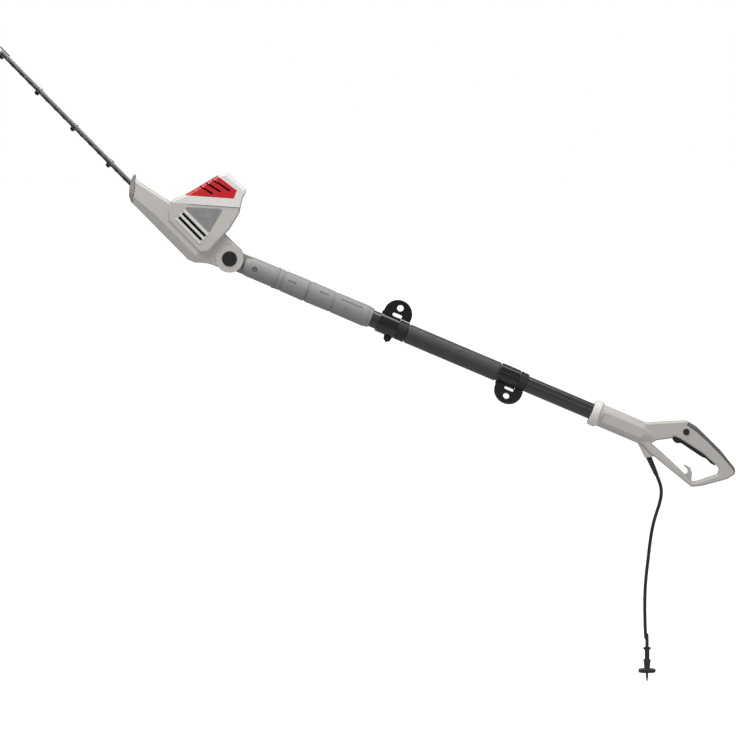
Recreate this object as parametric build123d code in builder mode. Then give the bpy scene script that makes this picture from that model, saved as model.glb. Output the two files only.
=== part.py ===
from build123d import *
from math import atan2, cos, degrees, pi, radians, sin, sqrt, tan
import os

os.makedirs("parts", exist_ok=True)

# Pole hedge trimmer, millimetres. The origin is the centre of the eye in the front strap clamp.
# +Z is up, the cutter bar points along -X and up, the handle is on the +X side.
# "Left" is the -Y side, as the operator sees it.

# ---- Driving dimensions ---------------------------------------------------------------------
POLE_SLOPE = 23.0            # the pole falls towards the handle, degrees below level
HEAD_RISE = 45.5             # the cutter bar rises, degrees above level
EYE_ALONG = 406.0            # strap eye from the tilt axis, measured along the pole
EYE_ABOVE = 47.0             # strap eye above the pole axis
RUNNING_FIT = 0.05           # radial clearance of a shaft in its bearing
LOOSE_FIT = 0.2              # clearance of hand-moved plastic parts
THROUGH = 400.0              # cuts and areas this long pass right through a piece

# Cutting head, measured from the tilt axis: forward along the bar and upward from it
WALL = 2.8                   # wall of the plastic housings
HEAD_HALF_WIDTH = 46.0
TOWER_TOP_HALF_WIDTH = 36.0
BELLY = -69.0                # underside of the head
EAR_RADIUS = 32.0            # two ears carry the tilt joint
EAR_INNER = 15.0             # inner and outer faces of each ear, from the middle
EAR_OUTER = 29.0
EAR_SLOT_END = 34.0          # the slot between the ears ends here, forward of the tilt axis
EAR_SLOT_SIZE = 100.0
EAR_WEB_OUTER = 21.0         # web of the left ear, between the button and the lock ring
EAR_WEB_INNER = 18.5
AXLE_RADIUS = 4.0
AXLE_HEAD_RADIUS = 6.5
AXLE_NUT_RADIUS = 7.5
AXLE_NUT_HEIGHT = 6.5
BUTTON_RADIUS = 17.25        # tilt lock button
BUTTON_LEGS = 3
BUTTON_LEG_RADIUS = 1.6
BUTTON_LEG_CIRCLE = 9.7
LOCK_RING_RADIUS = 13.5
LOCK_TEETH = 16              # one tooth for every 22.5 degrees of tilt
SCREW_BITE = 14.0            # how far the shell screws reach into the left half
SCREW_SEAT = 12.0            # under their heads, right of the middle

# Cutter
CUTTER_LEVEL = -41.5         # middle of the stack of bar and blades
BAR_TOP = -36.0              # top face of the guide bar
BAR_THICKNESS = 5.0
BAR_HALF_WIDTH = 11.0
BAR_START = 203.0
BAR_END = 706.0
BLADE_THICKNESS = 2.4
BLADE_GAP = 0.2              # oil gap between the sliding faces
BLADE_STROKE = 14.0
TOOTH_PITCH = 28.0
TOOTH_COUNT = 14
TOOTH_REACH = 28.0           # tooth tips from the middle of the bar
SPINE_HALF_WIDTH = 13.0
BOLT_FIRST = 348.0
BOLT_PITCH = 116.0
BOLT_COUNT = 4
BOLT_RADIUS = 3.0

# Drive: a pinion on the motor shaft turns a large gear with two eccentrics
MODULE = 1.25
PINION_TEETH = 12
GEAR_TEETH = 60
PRESSURE_ANGLE = 20.0
MOTOR_AT = 112.0             # motor axis, forward of the tilt axis
GEAR_AT = MOTOR_AT + MODULE * (PINION_TEETH + GEAR_TEETH) / 2
GEAR_BOTTOM = -33.0
GEAR_THICKNESS = 7.0
CAM_RADIUS = 9.0
CAM_THROW = 7.0
SHAFT_RADIUS = 4.0
BEARING_RADIUS = 11.0
BEARING_WIDTH = 7.0
STATOR_RADIUS = 33.0
ROTOR_RADIUS = 19.0
STACK_BOTTOM = 12.0          # motor laminations
STACK_HEIGHT = 46.0

# Pole, measured along it from the tilt axis
OUTER_TUBE_RADIUS = 19.75
OUTER_TUBE_WALL = 1.0
INNER_TUBE_RADIUS = 18.5
INNER_TUBE_WALL = 1.2
OUTER_TUBE_START = 80.0
OUTER_TUBE_END = 727.0
INNER_TUBE_START = 150.0
HANDLE_FACE = 904.0          # where the inner tube enters the handle
INNER_TUBE_END = 980.0
GRIP_START = 118.0
GRIP_END = 353.0
GRIP_RADIUS = 25.0
FRONT_CLAMP_START = 371.0
CLAMP_WIDTH = 46.0
REAR_CLAMP_START = 673.0
REAR_CLAMP_TURN = 156.0      # the rear eye hangs below the pole
SLEEVE_START = 443.0
SLEEVE_END = 670.0
SLEEVE_RADIUS = 22.5
SLEEVE_ROUNDING = 1.5
NUT_START = 721.0
NUT_END = 740.0

# Strap clamp
STRAP_PLATE = 6.0            # thickness of the eye plate
STRAP_EYE_RADIUS = 7.5
STRAP_PLATE_RADIUS = 33.0

# Handle
HANDLE_HALF_WIDTH = 17.0
BARREL_RADIUS = 26.0

# ---- Frames ---------------------------------------------------------------------------------
along = Vector(cos(radians(POLE_SLOPE)), 0, -sin(radians(POLE_SLOPE)))
above = Vector(sin(radians(POLE_SLOPE)), 0, cos(radians(POLE_SLOPE)))
forward = Vector(-cos(radians(HEAD_RISE)), 0, sin(radians(HEAD_RISE)))
upward = Vector(sin(radians(HEAD_RISE)), 0, cos(radians(HEAD_RISE)))
tilt_axis = Vector(0, 0, 0) - along * EYE_ALONG - above * EYE_ABOVE

# Side views: the first axis runs along the pole or forward along the bar, the second is up.
pole_side = Plane(origin=tilt_axis, x_dir=along, z_dir=(0, -1, 0))
head_side = Plane(origin=tilt_axis, x_dir=forward, z_dir=(0, 1, 0))


def across_pole(distance, turn=0.0):
    """A plane square to the pole: x is +Y, y is up, the normal points to the handle."""
    plane = Plane(origin=tilt_axis + along * distance, x_dir=(0, 1, 0), z_dir=along)
    return plane.rotated((0, 0, turn))


def across_head(distance):
    """A plane square to the cutter bar: x is +Y, y is upward, the normal points backward."""
    return Plane(origin=tilt_axis + forward * distance, x_dir=(0, 1, 0), z_dir=forward * -1)


def head_level(height):
    """A plane parallel to the blades: x is forward, y is -Y, the normal points upward."""
    return Plane(origin=tilt_axis + upward * height, x_dir=forward, z_dir=upward)


def rounded_outline(corners):
    """A closed line through (x, y, corner radius) points."""
    points = [(x, y) for x, y, radius in corners]
    FilletPolyline(*points, radius=[radius for x, y, radius in corners], close=True)


def rim_edges(solid):
    """The edges round both flanks of a casing, without the creases inside a flank."""
    flank_edges = [
        edge
        for face in solid.faces()
        if abs(face.normal_at().Y) > 0.5
        for edge in face.edges()
    ]
    return [
        edge
        for edge in flank_edges
        if sum(edge.is_same(other) for other in flank_edges) == 1
    ]


def casing(outline, plan, front_view, inset=0.0, rim_radius=0.0):
    """A casing body: its side outline, narrowed by its plan and by its front view.

    plan holds (forward, half width) points and front_view holds (half width, height) points.
    """
    plan_side = [(at, half - inset) for at, half in plan]
    front_side = [(half - inset, height) for half, height in front_view]
    with BuildPart() as body:
        with BuildSketch(head_side):
            with BuildLine():
                rounded_outline(outline)
            make_face()
            if inset:
                offset(amount=-inset, kind=Kind.INTERSECTION)
        extrude(amount=HEAD_HALF_WIDTH * 2, both=True)
        with BuildSketch(head_level(-THROUGH / 2)):
            Polygon(*plan_side, *[(at, -half) for at, half in reversed(plan_side)], align=None)
        extrude(amount=THROUGH, mode=Mode.INTERSECT)
        with BuildSketch(across_head(THROUGH)):
            Polygon(*front_side, *[(-half, height) for half, height in reversed(front_side)], align=None)
        extrude(amount=2 * THROUGH, mode=Mode.INTERSECT)
        if rim_radius:
            fillet(rim_edges(body.part), rim_radius)
    return body.part


# ---- Cutting head: outer form ---------------------------------------------------------------
BAND_REAR = (77, 117)        # upper edge of the slanted band, where the red cover meets it
BAND_FRONT = (177.5, 28.5)
BAND_WIDTH = 19.0
BAND_PROUD = 1.6
TOWER_OUTLINE = [
    (45, -24, 0),
    (48, 48, 0),             # rear of the tower
    (58, 88, 0),
    (77, 117, 0),
    (80, 131, 0),
    (88, 137, 0),            # top of the motor end cap
    (145, 133, 0),
    (153, 120, 0),
    (175.5, 30, 0),          # front of the tower
    (188, -2, 0),
    (180, -22, 0),           # front corner of the fairing
    (160, -39, 0),
    (58, -39, 0),
]
TOWER_PLAN = [(-60, 46), (260, 46)]
TOWER_FRONT = [(35, 150), (46, 12), (46, -60)]
PAN_OUTLINE = [
    (36, -8, 0),
    (191, -8, 0),            # top of the nose
    (281, -28, 0),
    (267, -42, 0),           # seat of the front frame
    (248, BELLY, 0),
    (66, BELLY, 0),          # belly
    (50, -63, 0),
    (36, -50, 0),
]
PAN_PLAN = [(30, 27), (60, 43), (190, 43), (310, 37)]
PAN_FRONT = [(43, 20), (43, -49.5), (33, -69), (33, -90)]
NECK_OUTLINE = [
    (0, 31, 0),
    (48, 31, 0),
    (62, 45, 0),
    (62, -40, 0),
    (46, -58, 0),
    (24, -41.5, 0),
    (4, -32, 0),
    (0, -32, 0),
]
NECK_PLAN = [(-40, 27), (20, 27), (62, 38)]
NECK_FRONT = [(40, 50), (40, -70)]
VENT_LEVELS = (-2.3, -14.5)
RIB_LEVELS = (4.6, -8.4, -21.4)
RIB_HEIGHT = 5.0
RIB_PROUD = 1.4
RIB_OVERHANG = 4.0           # the ribs are longer than the vents at each end
VENT_SPAN = (76, 150)
VENT_HEIGHT = 5.3
VENT_MIDDLE = sum(VENT_SPAN) / 2
VENT_LENGTH = VENT_SPAN[1] - VENT_SPAN[0]
CUTTER_OPENING = (58, 24)    # width and height of the shells' mouth behind the front frame
CUTTER_OPENING_START = 232
BADGE_CORNERS = [(158, 10.5), (76, 10.5), (92, 70)]
BADGE_CORNER_RADIUS = 3
BADGE_THICKNESS = 1.0
BADGE_PROUD = 0.6
BOSS_PLACES = [(60, -50), (112, -58), (178, -58), (238, -56), (64, 78), (206, -20)]
BOSS_RADIUS = 4.5
SCREW_RADIUS = 1.9
SCREW_HEAD_RADIUS = 3.6
SCREW_HEAD_HEIGHT = 3.0
SCREW_TIP_GAP = 1.0          # the hole is deeper than the screw

tower = casing(TOWER_OUTLINE, TOWER_PLAN, TOWER_FRONT, rim_radius=6.0)
pan = casing(PAN_OUTLINE, PAN_PLAN, PAN_FRONT, rim_radius=4.0)
neck = casing(NECK_OUTLINE, NECK_PLAN, NECK_FRONT, rim_radius=5.0)
tower_room = casing(TOWER_OUTLINE, TOWER_PLAN, TOWER_FRONT, inset=WALL)
pan_room = casing(PAN_OUTLINE, PAN_PLAN, PAN_FRONT, inset=WALL)
proud_tower = casing(
    TOWER_OUTLINE,
    TOWER_PLAN,
    [(half + BAND_PROUD, height) for half, height in TOWER_FRONT],
    rim_radius=4.0,
)


def above_band(drop=0.0):
    """Side-view area above the slanted band's upper edge, or above a line square below it."""
    slope = Vector(BAND_REAR) - Vector(BAND_FRONT)
    lowered = Vector(-slope.Y, slope.X).normalized() * drop
    front = Vector(BAND_FRONT) - slope + lowered
    rear = Vector(BAND_REAR) + slope + lowered
    Polygon(front, rear, (rear.X, THROUGH), (front.X, THROUGH), align=None)


def cross_recess(length, width):
    """The cross in the head of a screw, in the open sketch."""
    Rectangle(length, width)
    Rectangle(width, length)


def tower_flank(proud):
    """The tower with plain edges and its sides moved out by a distance."""
    widened = [(half + proud, height) for half, height in TOWER_FRONT]
    return casing(TOWER_OUTLINE, [(at, half + proud) for at, half in TOWER_PLAN], widened)


def head_shell(side):
    """One half of the head housing; side is -1 for the left half and 1 for the right half."""
    face = Plane.XZ if side < 0 else -Plane.XZ
    with BuildPart() as shell:
        add(tower)
        with BuildSketch(head_side):
            above_band()
        extrude(amount=HEAD_HALF_WIDTH * 2, both=True, mode=Mode.SUBTRACT)
        add(band_form.part)
        with BuildSketch(head_side):
            for level in RIB_LEVELS:
                with Locations((VENT_MIDDLE, level)):
                    SlotOverall(VENT_LENGTH + 2 * RIB_OVERHANG, RIB_HEIGHT)
        extrude(amount=HEAD_HALF_WIDTH + RIB_PROUD, both=True)
        add(pan)
        add(neck)
        with BuildSketch(head_side):
            Circle(EAR_RADIUS)
        extrude(amount=EAR_OUTER, both=True)
        add(tower_room, mode=Mode.SUBTRACT)
        add(pan_room, mode=Mode.SUBTRACT)
        add(boss_posts.part)
        # slot between the ears for the tongue of the knuckle
        with BuildSketch(head_side):
            with Locations((EAR_SLOT_END - EAR_SLOT_SIZE / 2, 0)):
                Rectangle(EAR_SLOT_SIZE, EAR_SLOT_SIZE)
        extrude(amount=EAR_INNER, both=True, mode=Mode.SUBTRACT)
        # opening towards the front frame
        with BuildSketch(across_head(CUTTER_OPENING_START)):
            with Locations((0, CUTTER_LEVEL)):
                Rectangle(*CUTTER_OPENING)
        extrude(amount=-THROUGH, mode=Mode.SUBTRACT)
        # vents between the ribs
        with BuildSketch(head_side):
            for level in VENT_LEVELS:
                with Locations((VENT_MIDDLE, level)):
                    SlotOverall(VENT_LENGTH, VENT_HEIGHT)
        extrude(amount=HEAD_HALF_WIDTH * 2, both=True, mode=Mode.SUBTRACT)
        # pocket for the badge
        add(badge_pocket.part, mode=Mode.SUBTRACT)
        split(bisect_by=face, keep=Keep.TOP)
        # tilt joint and shell screws
        with BuildSketch(head_side):
            Circle(AXLE_RADIUS + RUNNING_FIT)
        extrude(amount=side * HEAD_HALF_WIDTH, mode=Mode.SUBTRACT)
        if side < 0:
            with BuildSketch(head_side.offset(-EAR_OUTER)):
                Circle(BUTTON_RADIUS + LOOSE_FIT)
            extrude(amount=EAR_OUTER - EAR_WEB_OUTER, mode=Mode.SUBTRACT)
            with BuildSketch(head_side.offset(-EAR_INNER)):
                Circle(LOCK_RING_RADIUS + 2 * LOOSE_FIT)
            extrude(amount=EAR_INNER - EAR_WEB_INNER, mode=Mode.SUBTRACT)
            with BuildSketch(head_side.offset(-EAR_OUTER)):
                with PolarLocations(BUTTON_LEG_CIRCLE, BUTTON_LEGS):
                    Circle(BUTTON_LEG_RADIUS + LOOSE_FIT)
            extrude(amount=EAR_OUTER, mode=Mode.SUBTRACT)
            with BuildSketch(head_side):
                with Locations(*BOSS_PLACES):
                    Circle(SCREW_RADIUS + RUNNING_FIT)
            extrude(amount=-SCREW_BITE, mode=Mode.SUBTRACT)
        else:
            with BuildSketch(head_side.offset(EAR_OUTER)):
                RegularPolygon(AXLE_NUT_RADIUS + RUNNING_FIT, 6)
            extrude(amount=-AXLE_NUT_HEIGHT, mode=Mode.SUBTRACT)
            with BuildSketch(head_side):
                with Locations(*BOSS_PLACES):
                    Circle(SCREW_RADIUS + LOOSE_FIT)
            extrude(amount=HEAD_HALF_WIDTH, mode=Mode.SUBTRACT)
            with BuildSketch(head_side.offset(SCREW_SEAT)):
                with Locations(*BOSS_PLACES):
                    Circle(SCREW_HEAD_RADIUS + LOOSE_FIT)
            extrude(amount=HEAD_HALF_WIDTH, mode=Mode.SUBTRACT)
    return shell


with BuildPart() as band_form:
    add(proud_tower)
    with BuildSketch(head_side):
        above_band()
    extrude(amount=HEAD_HALF_WIDTH * 2, both=True, mode=Mode.SUBTRACT)
    with BuildSketch(head_side):
        above_band(drop=BAND_WIDTH)
    extrude(amount=HEAD_HALF_WIDTH * 2, both=True, mode=Mode.INTERSECT)

with BuildPart() as boss_posts:
    add(tower)
    add(pan)
    with BuildSketch(head_side):
        with Locations(*BOSS_PLACES):
            Circle(BOSS_RADIUS)
    extrude(amount=HEAD_HALF_WIDTH * 2, both=True, mode=Mode.INTERSECT)

with BuildPart() as badge_pocket:
    with BuildSketch(head_side):
        with BuildLine():
            rounded_outline([(x, y, BADGE_CORNER_RADIUS) for x, y in BADGE_CORNERS])
        make_face()
        offset(amount=LOOSE_FIT)
    extrude(amount=HEAD_HALF_WIDTH * 2, both=True)
    add(tower_flank(-BADGE_THICKNESS), mode=Mode.SUBTRACT)

head_shell_left = head_shell(-1)
head_shell_left.part.label = "head_shell_left"
export_step(head_shell_left.part, "parts/head_shell_left.step")

head_shell_right = head_shell(1)
head_shell_right.part.label = "head_shell_right"
export_step(head_shell_right.part, "parts/head_shell_right.step")

# Blank triangular badges let into both flanks.
with BuildPart() as side_badges:
    with BuildSketch(head_side):
        with BuildLine():
            rounded_outline([(x, y, BADGE_CORNER_RADIUS) for x, y in BADGE_CORNERS])
        make_face()
    extrude(amount=HEAD_HALF_WIDTH * 2, both=True)
    add(tower_flank(BADGE_PROUD), mode=Mode.INTERSECT)
    add(tower_flank(-BADGE_THICKNESS), mode=Mode.SUBTRACT)
side_badges.part.label = "side_badges"
export_step(side_badges.part, "parts/side_badges.step")

# Screws run in from the right half.
with BuildPart() as head_screws:
    with BuildSketch(head_side.offset(-SCREW_BITE + SCREW_TIP_GAP)):
        with Locations(*BOSS_PLACES):
            Circle(SCREW_RADIUS)
    extrude(amount=SCREW_SEAT + SCREW_BITE - SCREW_TIP_GAP)
    with BuildSketch(head_side.offset(SCREW_SEAT)):
        with Locations(*BOSS_PLACES):
            Circle(SCREW_HEAD_RADIUS)
    extrude(amount=SCREW_HEAD_HEIGHT)
    with BuildSketch(head_side.offset(SCREW_SEAT + SCREW_HEAD_HEIGHT)):
        with Locations(*BOSS_PLACES):
            cross_recess(4.4, 1)
    extrude(amount=-0.6 * SCREW_HEAD_HEIGHT, mode=Mode.SUBTRACT)
head_screws.part.label = "head_screws"
export_step(head_screws.part, "parts/head_screws.step")

# ---- Cutting head: covers -------------------------------------------------------------------
COVER_TOP = [(99, 122), (175, 110.8)]      # meets the motor end cap
COVER_REAR = (92, 103.8)
COVER_FRONT = [(230, 102.7), (230, -17.8)]
COVER_SLOTS = [((154, 101), (112, 110)), ((160, 85), (126, 93)), ((165, 70), (135, 77))]
COVER_SLOT_HEIGHT = 4.6
COVER_SLOT_ZONES = [(1.5, 14), (17, 60)]  # a rib stands in the middle and one on each side
CAP_SEAM = 0.3

CAP_OUTER_CORNERS = [(170, 111.5), (170, 190), (30, 190), (30, 158.4)]
BEARING_BOSS_BOTTOM = 96.5
BEARING_BOSS_WALL = 3.0
CAP_BOSS_HEIGHT = 37.0
UPPER_BEARING_AT = 98.0
SHAFT_ROOM = 2.0             # around the ends of the shaft
SHAFT_END_ROOM = 4.0


def slot_between(start, end, height):
    """A round-ended slot in the current sketch, from one centre to another."""
    middle = (Vector(start) + Vector(end)) / 2
    span = Vector(end) - Vector(start)
    with Locations((middle.X, middle.Y)):
        SlotCenterToCenter(span.length, height, rotation=degrees(atan2(span.Y, span.X)))


with BuildPart() as motor_vent_cover:
    add(tower)
    with BuildSketch(head_side):
        Polygon(COVER_REAR, *COVER_TOP, *COVER_FRONT, align=None)
        offset(amount=-CAP_SEAM, kind=Kind.INTERSECTION)
    extrude(amount=HEAD_HALF_WIDTH * 2, both=True, mode=Mode.INTERSECT)
    add(tower_room, mode=Mode.SUBTRACT)
    for inner_end, outer_end in COVER_SLOT_ZONES:
        for side in (-1, 1):
            with BuildSketch(head_side.offset(side * inner_end)):
                for front_end, rear_end in COVER_SLOTS:
                    slot_between(front_end, rear_end, COVER_SLOT_HEIGHT)
            extrude(amount=side * (outer_end - inner_end), mode=Mode.SUBTRACT)
motor_vent_cover.part.label = "motor_vent_cover"
export_step(motor_vent_cover.part, "parts/motor_vent_cover.step")

with BuildPart() as motor_end_cap:
    add(tower)
    with BuildSketch(head_side):
        Polygon(COVER_REAR, COVER_TOP[0], *CAP_OUTER_CORNERS, align=None)
        offset(amount=-CAP_SEAM, kind=Kind.INTERSECTION)
    extrude(amount=HEAD_HALF_WIDTH * 2, both=True, mode=Mode.INTERSECT)
    add(tower_room, mode=Mode.SUBTRACT)
    # boss that holds the upper motor bearing
    with BuildSketch(head_level(BEARING_BOSS_BOTTOM)):
        with Locations((MOTOR_AT, 0)):
            Circle(BEARING_RADIUS + BEARING_BOSS_WALL)
    extrude(amount=CAP_BOSS_HEIGHT)
    with BuildSketch(head_level(BEARING_BOSS_BOTTOM)):
        with Locations((MOTOR_AT, 0)):
            Circle(BEARING_RADIUS)
    extrude(amount=UPPER_BEARING_AT + BEARING_WIDTH - BEARING_BOSS_BOTTOM, mode=Mode.SUBTRACT)
    with BuildSketch(head_level(BEARING_BOSS_BOTTOM)):
        with Locations((MOTOR_AT, 0)):
            Circle(SHAFT_RADIUS + SHAFT_ROOM)
    extrude(
        amount=UPPER_BEARING_AT + BEARING_WIDTH + SHAFT_END_ROOM - BEARING_BOSS_BOTTOM,
        mode=Mode.SUBTRACT,
    )
motor_end_cap.part.label = "motor_end_cap"
export_step(motor_end_cap.part, "parts/motor_end_cap.step")

FRAME_OUTLINE = [
    (281, -28, 0),
    (288, -20, 1.5),         # lip above the bar
    (291, -23, 1.5),
    (285, -36, 8),
    (276, -50, 8),
    (264, -63, 5),
    (252, BELLY, 1),
    (248, BELLY, 0),
    (267, -42, 0),
]
FRAME_SLOT_HALF_WIDTH = 16.0
FRAME_SLOT = (-48.5, -34.0)  # lowest and highest level of the opening for the cutter
FRAME_PLAN = [(240, 42.2), (310, 38)]
FRAME_FRONT = [(40, 0), (42.5, -20), (42.5, -49.5), (33.5, -70)]

with BuildPart() as front_frame:
    with BuildSketch(head_side):
        with BuildLine():
            rounded_outline(FRAME_OUTLINE)
        make_face()
    extrude(amount=HEAD_HALF_WIDTH * 2, both=True)
    with BuildSketch(head_level(-THROUGH / 2)):
        Polygon(*FRAME_PLAN, *[(at, -half) for at, half in reversed(FRAME_PLAN)], align=None)
    extrude(amount=THROUGH, mode=Mode.INTERSECT)
    with BuildSketch(across_head(0)):
        Polygon(*FRAME_FRONT, *[(-half, level) for half, level in reversed(FRAME_FRONT)], align=None)
    extrude(amount=-THROUGH, mode=Mode.INTERSECT)
    with BuildSketch(across_head(0)):
        with Locations((0, sum(FRAME_SLOT) / 2)):
            Rectangle(2 * FRAME_SLOT_HALF_WIDTH, FRAME_SLOT[1] - FRAME_SLOT[0])
    extrude(amount=-THROUGH, mode=Mode.SUBTRACT)
front_frame.part.label = "front_frame"
export_step(front_frame.part, "parts/front_frame.step")

# ---- Cutter ---------------------------------------------------------------------------------
BAR_BOTTOM = BAR_TOP - BAR_THICKNESS
UPPER_BLADE_TOP = BAR_BOTTOM - BLADE_GAP
LOWER_BLADE_TOP = UPPER_BLADE_TOP - BLADE_THICKNESS - BLADE_GAP
LOWER_BLADE_BOTTOM = LOWER_BLADE_TOP - BLADE_THICKNESS
BOLT_PLACES = [BOLT_FIRST + BOLT_PITCH * index for index in range(BOLT_COUNT)]
BAR_RIVET_PLACES = (216, 240)
BAR_RIVET_RADIUS = 2.5
BAR_RIVET_HEAD = 4.5
BAR_RIVET_HEAD_HEIGHT = 1.4
BAR_CORNER_RADIUS = 4.0
BAR_CHAMFER = 1.2
BAR_SEAT_TOP = -26.0         # top of the gearbox plate's nose, which lies on the bar
FIRST_TOOTH = 306.0
YOKE_ROOM = 1.0
YOKE_HALF_LENGTH = CAM_RADIUS + CAM_THROW + BLADE_STROKE / 2 + YOKE_ROOM
YOKE_HALF_WIDTH = CAM_RADIUS + CAM_THROW + YOKE_ROOM
YOKE_RIM = 6.0
YOKE_CORNER_RADIUS = 8.0
LOWER_BLADE_SETBACK = 2.0    # the lower blade ends short of the bar, clear of the tip guard
TOOTH_ROOT_HALF = 7.6
TOOTH_TIP_HALF = 4.0
TOOTH_BEVEL = (1.0, 2.4)     # height and width of the ground cutting bevel


def blade(top_level, tooth_shift, yoke_shift, end):
    """A double-sided blade: spine, teeth, slots for the bolts and a yoke round its eccentric."""
    with BuildPart() as body:
        with BuildSketch(head_level(top_level)) as plan:
            with Locations(((GEAR_AT + end) / 2, 0)):
                Rectangle(end - GEAR_AT, 2 * SPINE_HALF_WIDTH)
            with Locations((GEAR_AT + yoke_shift, 0)):
                RectangleRounded(
                    2 * (YOKE_HALF_LENGTH + YOKE_RIM),
                    2 * (YOKE_HALF_WIDTH + YOKE_RIM),
                    YOKE_CORNER_RADIUS,
                )
            for index in range(TOOTH_COUNT):
                middle = FIRST_TOOTH + TOOTH_PITCH * index + tooth_shift
                for side in (-1, 1):
                    Polygon(
                        (middle - TOOTH_ROOT_HALF, side * (SPINE_HALF_WIDTH - 1)),
                        (middle + TOOTH_ROOT_HALF, side * (SPINE_HALF_WIDTH - 1)),
                        (middle + TOOTH_TIP_HALF, side * TOOTH_REACH),
                        (middle - TOOTH_TIP_HALF, side * TOOTH_REACH),
                        align=None,
                    )
            with Locations((GEAR_AT + yoke_shift, 0)):
                SlotOverall(2 * YOKE_HALF_LENGTH, 2 * YOKE_HALF_WIDTH, mode=Mode.SUBTRACT)
            for place in BOLT_PLACES:
                with Locations((place + yoke_shift, 0)):
                    SlotCenterToCenter(
                        BLADE_STROKE, 2 * (BOLT_RADIUS + LOOSE_FIT), mode=Mode.SUBTRACT
                    )
        extrude(amount=-BLADE_THICKNESS)
        # ground cutting bevels on the tooth flanks
        tooth_edges = (
            body.edges()
            .filter_by(lambda edge: abs(head_side.to_local_coords(edge @ 0.5).Z) > SPINE_HALF_WIDTH + 2)
            .filter_by(lambda edge: 8 < edge.length < 20)
            .filter_by(lambda edge: abs((edge % 0.5).Y) > 0.8)
        )
        outward = [
            edge
            for edge in tooth_edges
            if (head_side.to_local_coords(edge @ 0.5).Y < top_level - 1) == (top_level == LOWER_BLADE_TOP)
        ]
        chamfer(outward, length=TOOTH_BEVEL[0], length2=TOOTH_BEVEL[1])
    return body


with BuildPart() as guide_bar:
    with BuildSketch(head_level(BAR_TOP)):
        with Locations(((BAR_START + BAR_END) / 2, 0)):
            Rectangle(BAR_END - BAR_START, 2 * BAR_HALF_WIDTH)
        for place in BOLT_PLACES:
            with Locations((place, 0)):
                Circle(BOLT_RADIUS + RUNNING_FIT, mode=Mode.SUBTRACT)
        for place in BAR_RIVET_PLACES:
            with Locations((place, 0)):
                Circle(BAR_RIVET_RADIUS, mode=Mode.SUBTRACT)
    extrude(amount=-BAR_THICKNESS)
    corner_edges = guide_bar.edges().filter_by(GeomType.LINE).filter_by(
        lambda edge: abs((edge % 0.5).dot(upward)) > 0.99
    )
    fillet(corner_edges, BAR_CORNER_RADIUS)
    top_edges = guide_bar.faces().sort_by(Axis(tilt_axis, upward))[-1].outer_wire().edges()
    chamfer(top_edges, BAR_CHAMFER)
guide_bar.part.label = "guide_bar"
export_step(guide_bar.part, "parts/guide_bar.step")

# At rest the two blades stand half a stroke either side of each other.
upper_blade = blade(UPPER_BLADE_TOP, BLADE_STROKE / 2, BLADE_STROKE / 2, BAR_END)
upper_blade.part.label = "upper_blade"
export_step(upper_blade.part, "parts/upper_blade.step")

lower_blade = blade(LOWER_BLADE_TOP, -BLADE_STROKE / 2, -BLADE_STROKE / 2, BAR_END - LOWER_BLADE_SETBACK)
lower_blade.part.label = "lower_blade"
export_step(lower_blade.part, "parts/lower_blade.step")

BOLT_HEAD_RADIUS = 5.5
BOLT_HEAD_HEIGHT = 2.6
WASHER_RADIUS = 7.0
WASHER_THICKNESS = 1.2
LOCK_NUT_RADIUS = 5.7
LOCK_NUT_HEIGHT = 5.0
BOLT_END = 1.5               # the thread shows this far below the nut
BOLT_HEAD_ROUNDING = 1.8

with BuildPart() as blade_bolts:
    for place in BOLT_PLACES:
        with BuildSketch(head_level(BAR_TOP)):
            with Locations((place, 0)):
                Circle(BOLT_HEAD_RADIUS)
        extrude(amount=BOLT_HEAD_HEIGHT)
        with BuildSketch(head_level(BAR_TOP)):
            with Locations((place, 0)):
                Circle(BOLT_RADIUS)
        extrude(
            amount=LOWER_BLADE_BOTTOM - BAR_TOP - WASHER_THICKNESS - LOCK_NUT_HEIGHT - BOLT_END
        )
    heads = blade_bolts.faces().filter_by(
        lambda face: abs(head_side.to_local_coords(face.center()).Y - BAR_TOP - BOLT_HEAD_HEIGHT) < 0.01
    )
    fillet(heads.edges(), BOLT_HEAD_ROUNDING)
    # two rivets hold the root of the bar under the gearbox plate's nose
    for place in BAR_RIVET_PLACES:
        with BuildSketch(head_level(BAR_BOTTOM)):
            with Locations((place, 0)):
                Circle(BAR_RIVET_RADIUS)
        extrude(amount=BAR_SEAT_TOP - BAR_BOTTOM)
        with BuildSketch(head_level(BAR_SEAT_TOP)):
            with Locations((place, 0)):
                Circle(BAR_RIVET_HEAD)
        extrude(amount=BAR_RIVET_HEAD_HEIGHT)
blade_bolts.part.label = "blade_bolts"
export_step(blade_bolts.part, "parts/blade_bolts.step")

with BuildPart() as blade_washers:
    with BuildSketch(head_level(LOWER_BLADE_BOTTOM)):
        for place in BOLT_PLACES:
            with Locations((place, 0)):
                Circle(WASHER_RADIUS)
                Circle(BOLT_RADIUS + RUNNING_FIT, mode=Mode.SUBTRACT)
    extrude(amount=-WASHER_THICKNESS)
blade_washers.part.label = "blade_washers"
export_step(blade_washers.part, "parts/blade_washers.step")

with BuildPart() as blade_nuts:
    with BuildSketch(head_level(LOWER_BLADE_BOTTOM - WASHER_THICKNESS)):
        for place in BOLT_PLACES:
            with Locations((place, 0)):
                RegularPolygon(LOCK_NUT_RADIUS, 6)
                Circle(BOLT_RADIUS + RUNNING_FIT, mode=Mode.SUBTRACT)
    extrude(amount=-LOCK_NUT_HEIGHT)
blade_nuts.part.label = "blade_nuts"
export_step(blade_nuts.part, "parts/blade_nuts.step")

# A bent strap at the end of the bar keeps the tip off walls and stones.
GUARD_THICKNESS = 3.0
GUARD_HALF_WIDTH = 9.0
GUARD_REACH = 18.0
GUARD_SEAT = 22.0
GUARD_BEND = 8.0             # the bend starts this far beyond the bar
GUARD_BEND_RADIUS = 4.0

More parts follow.
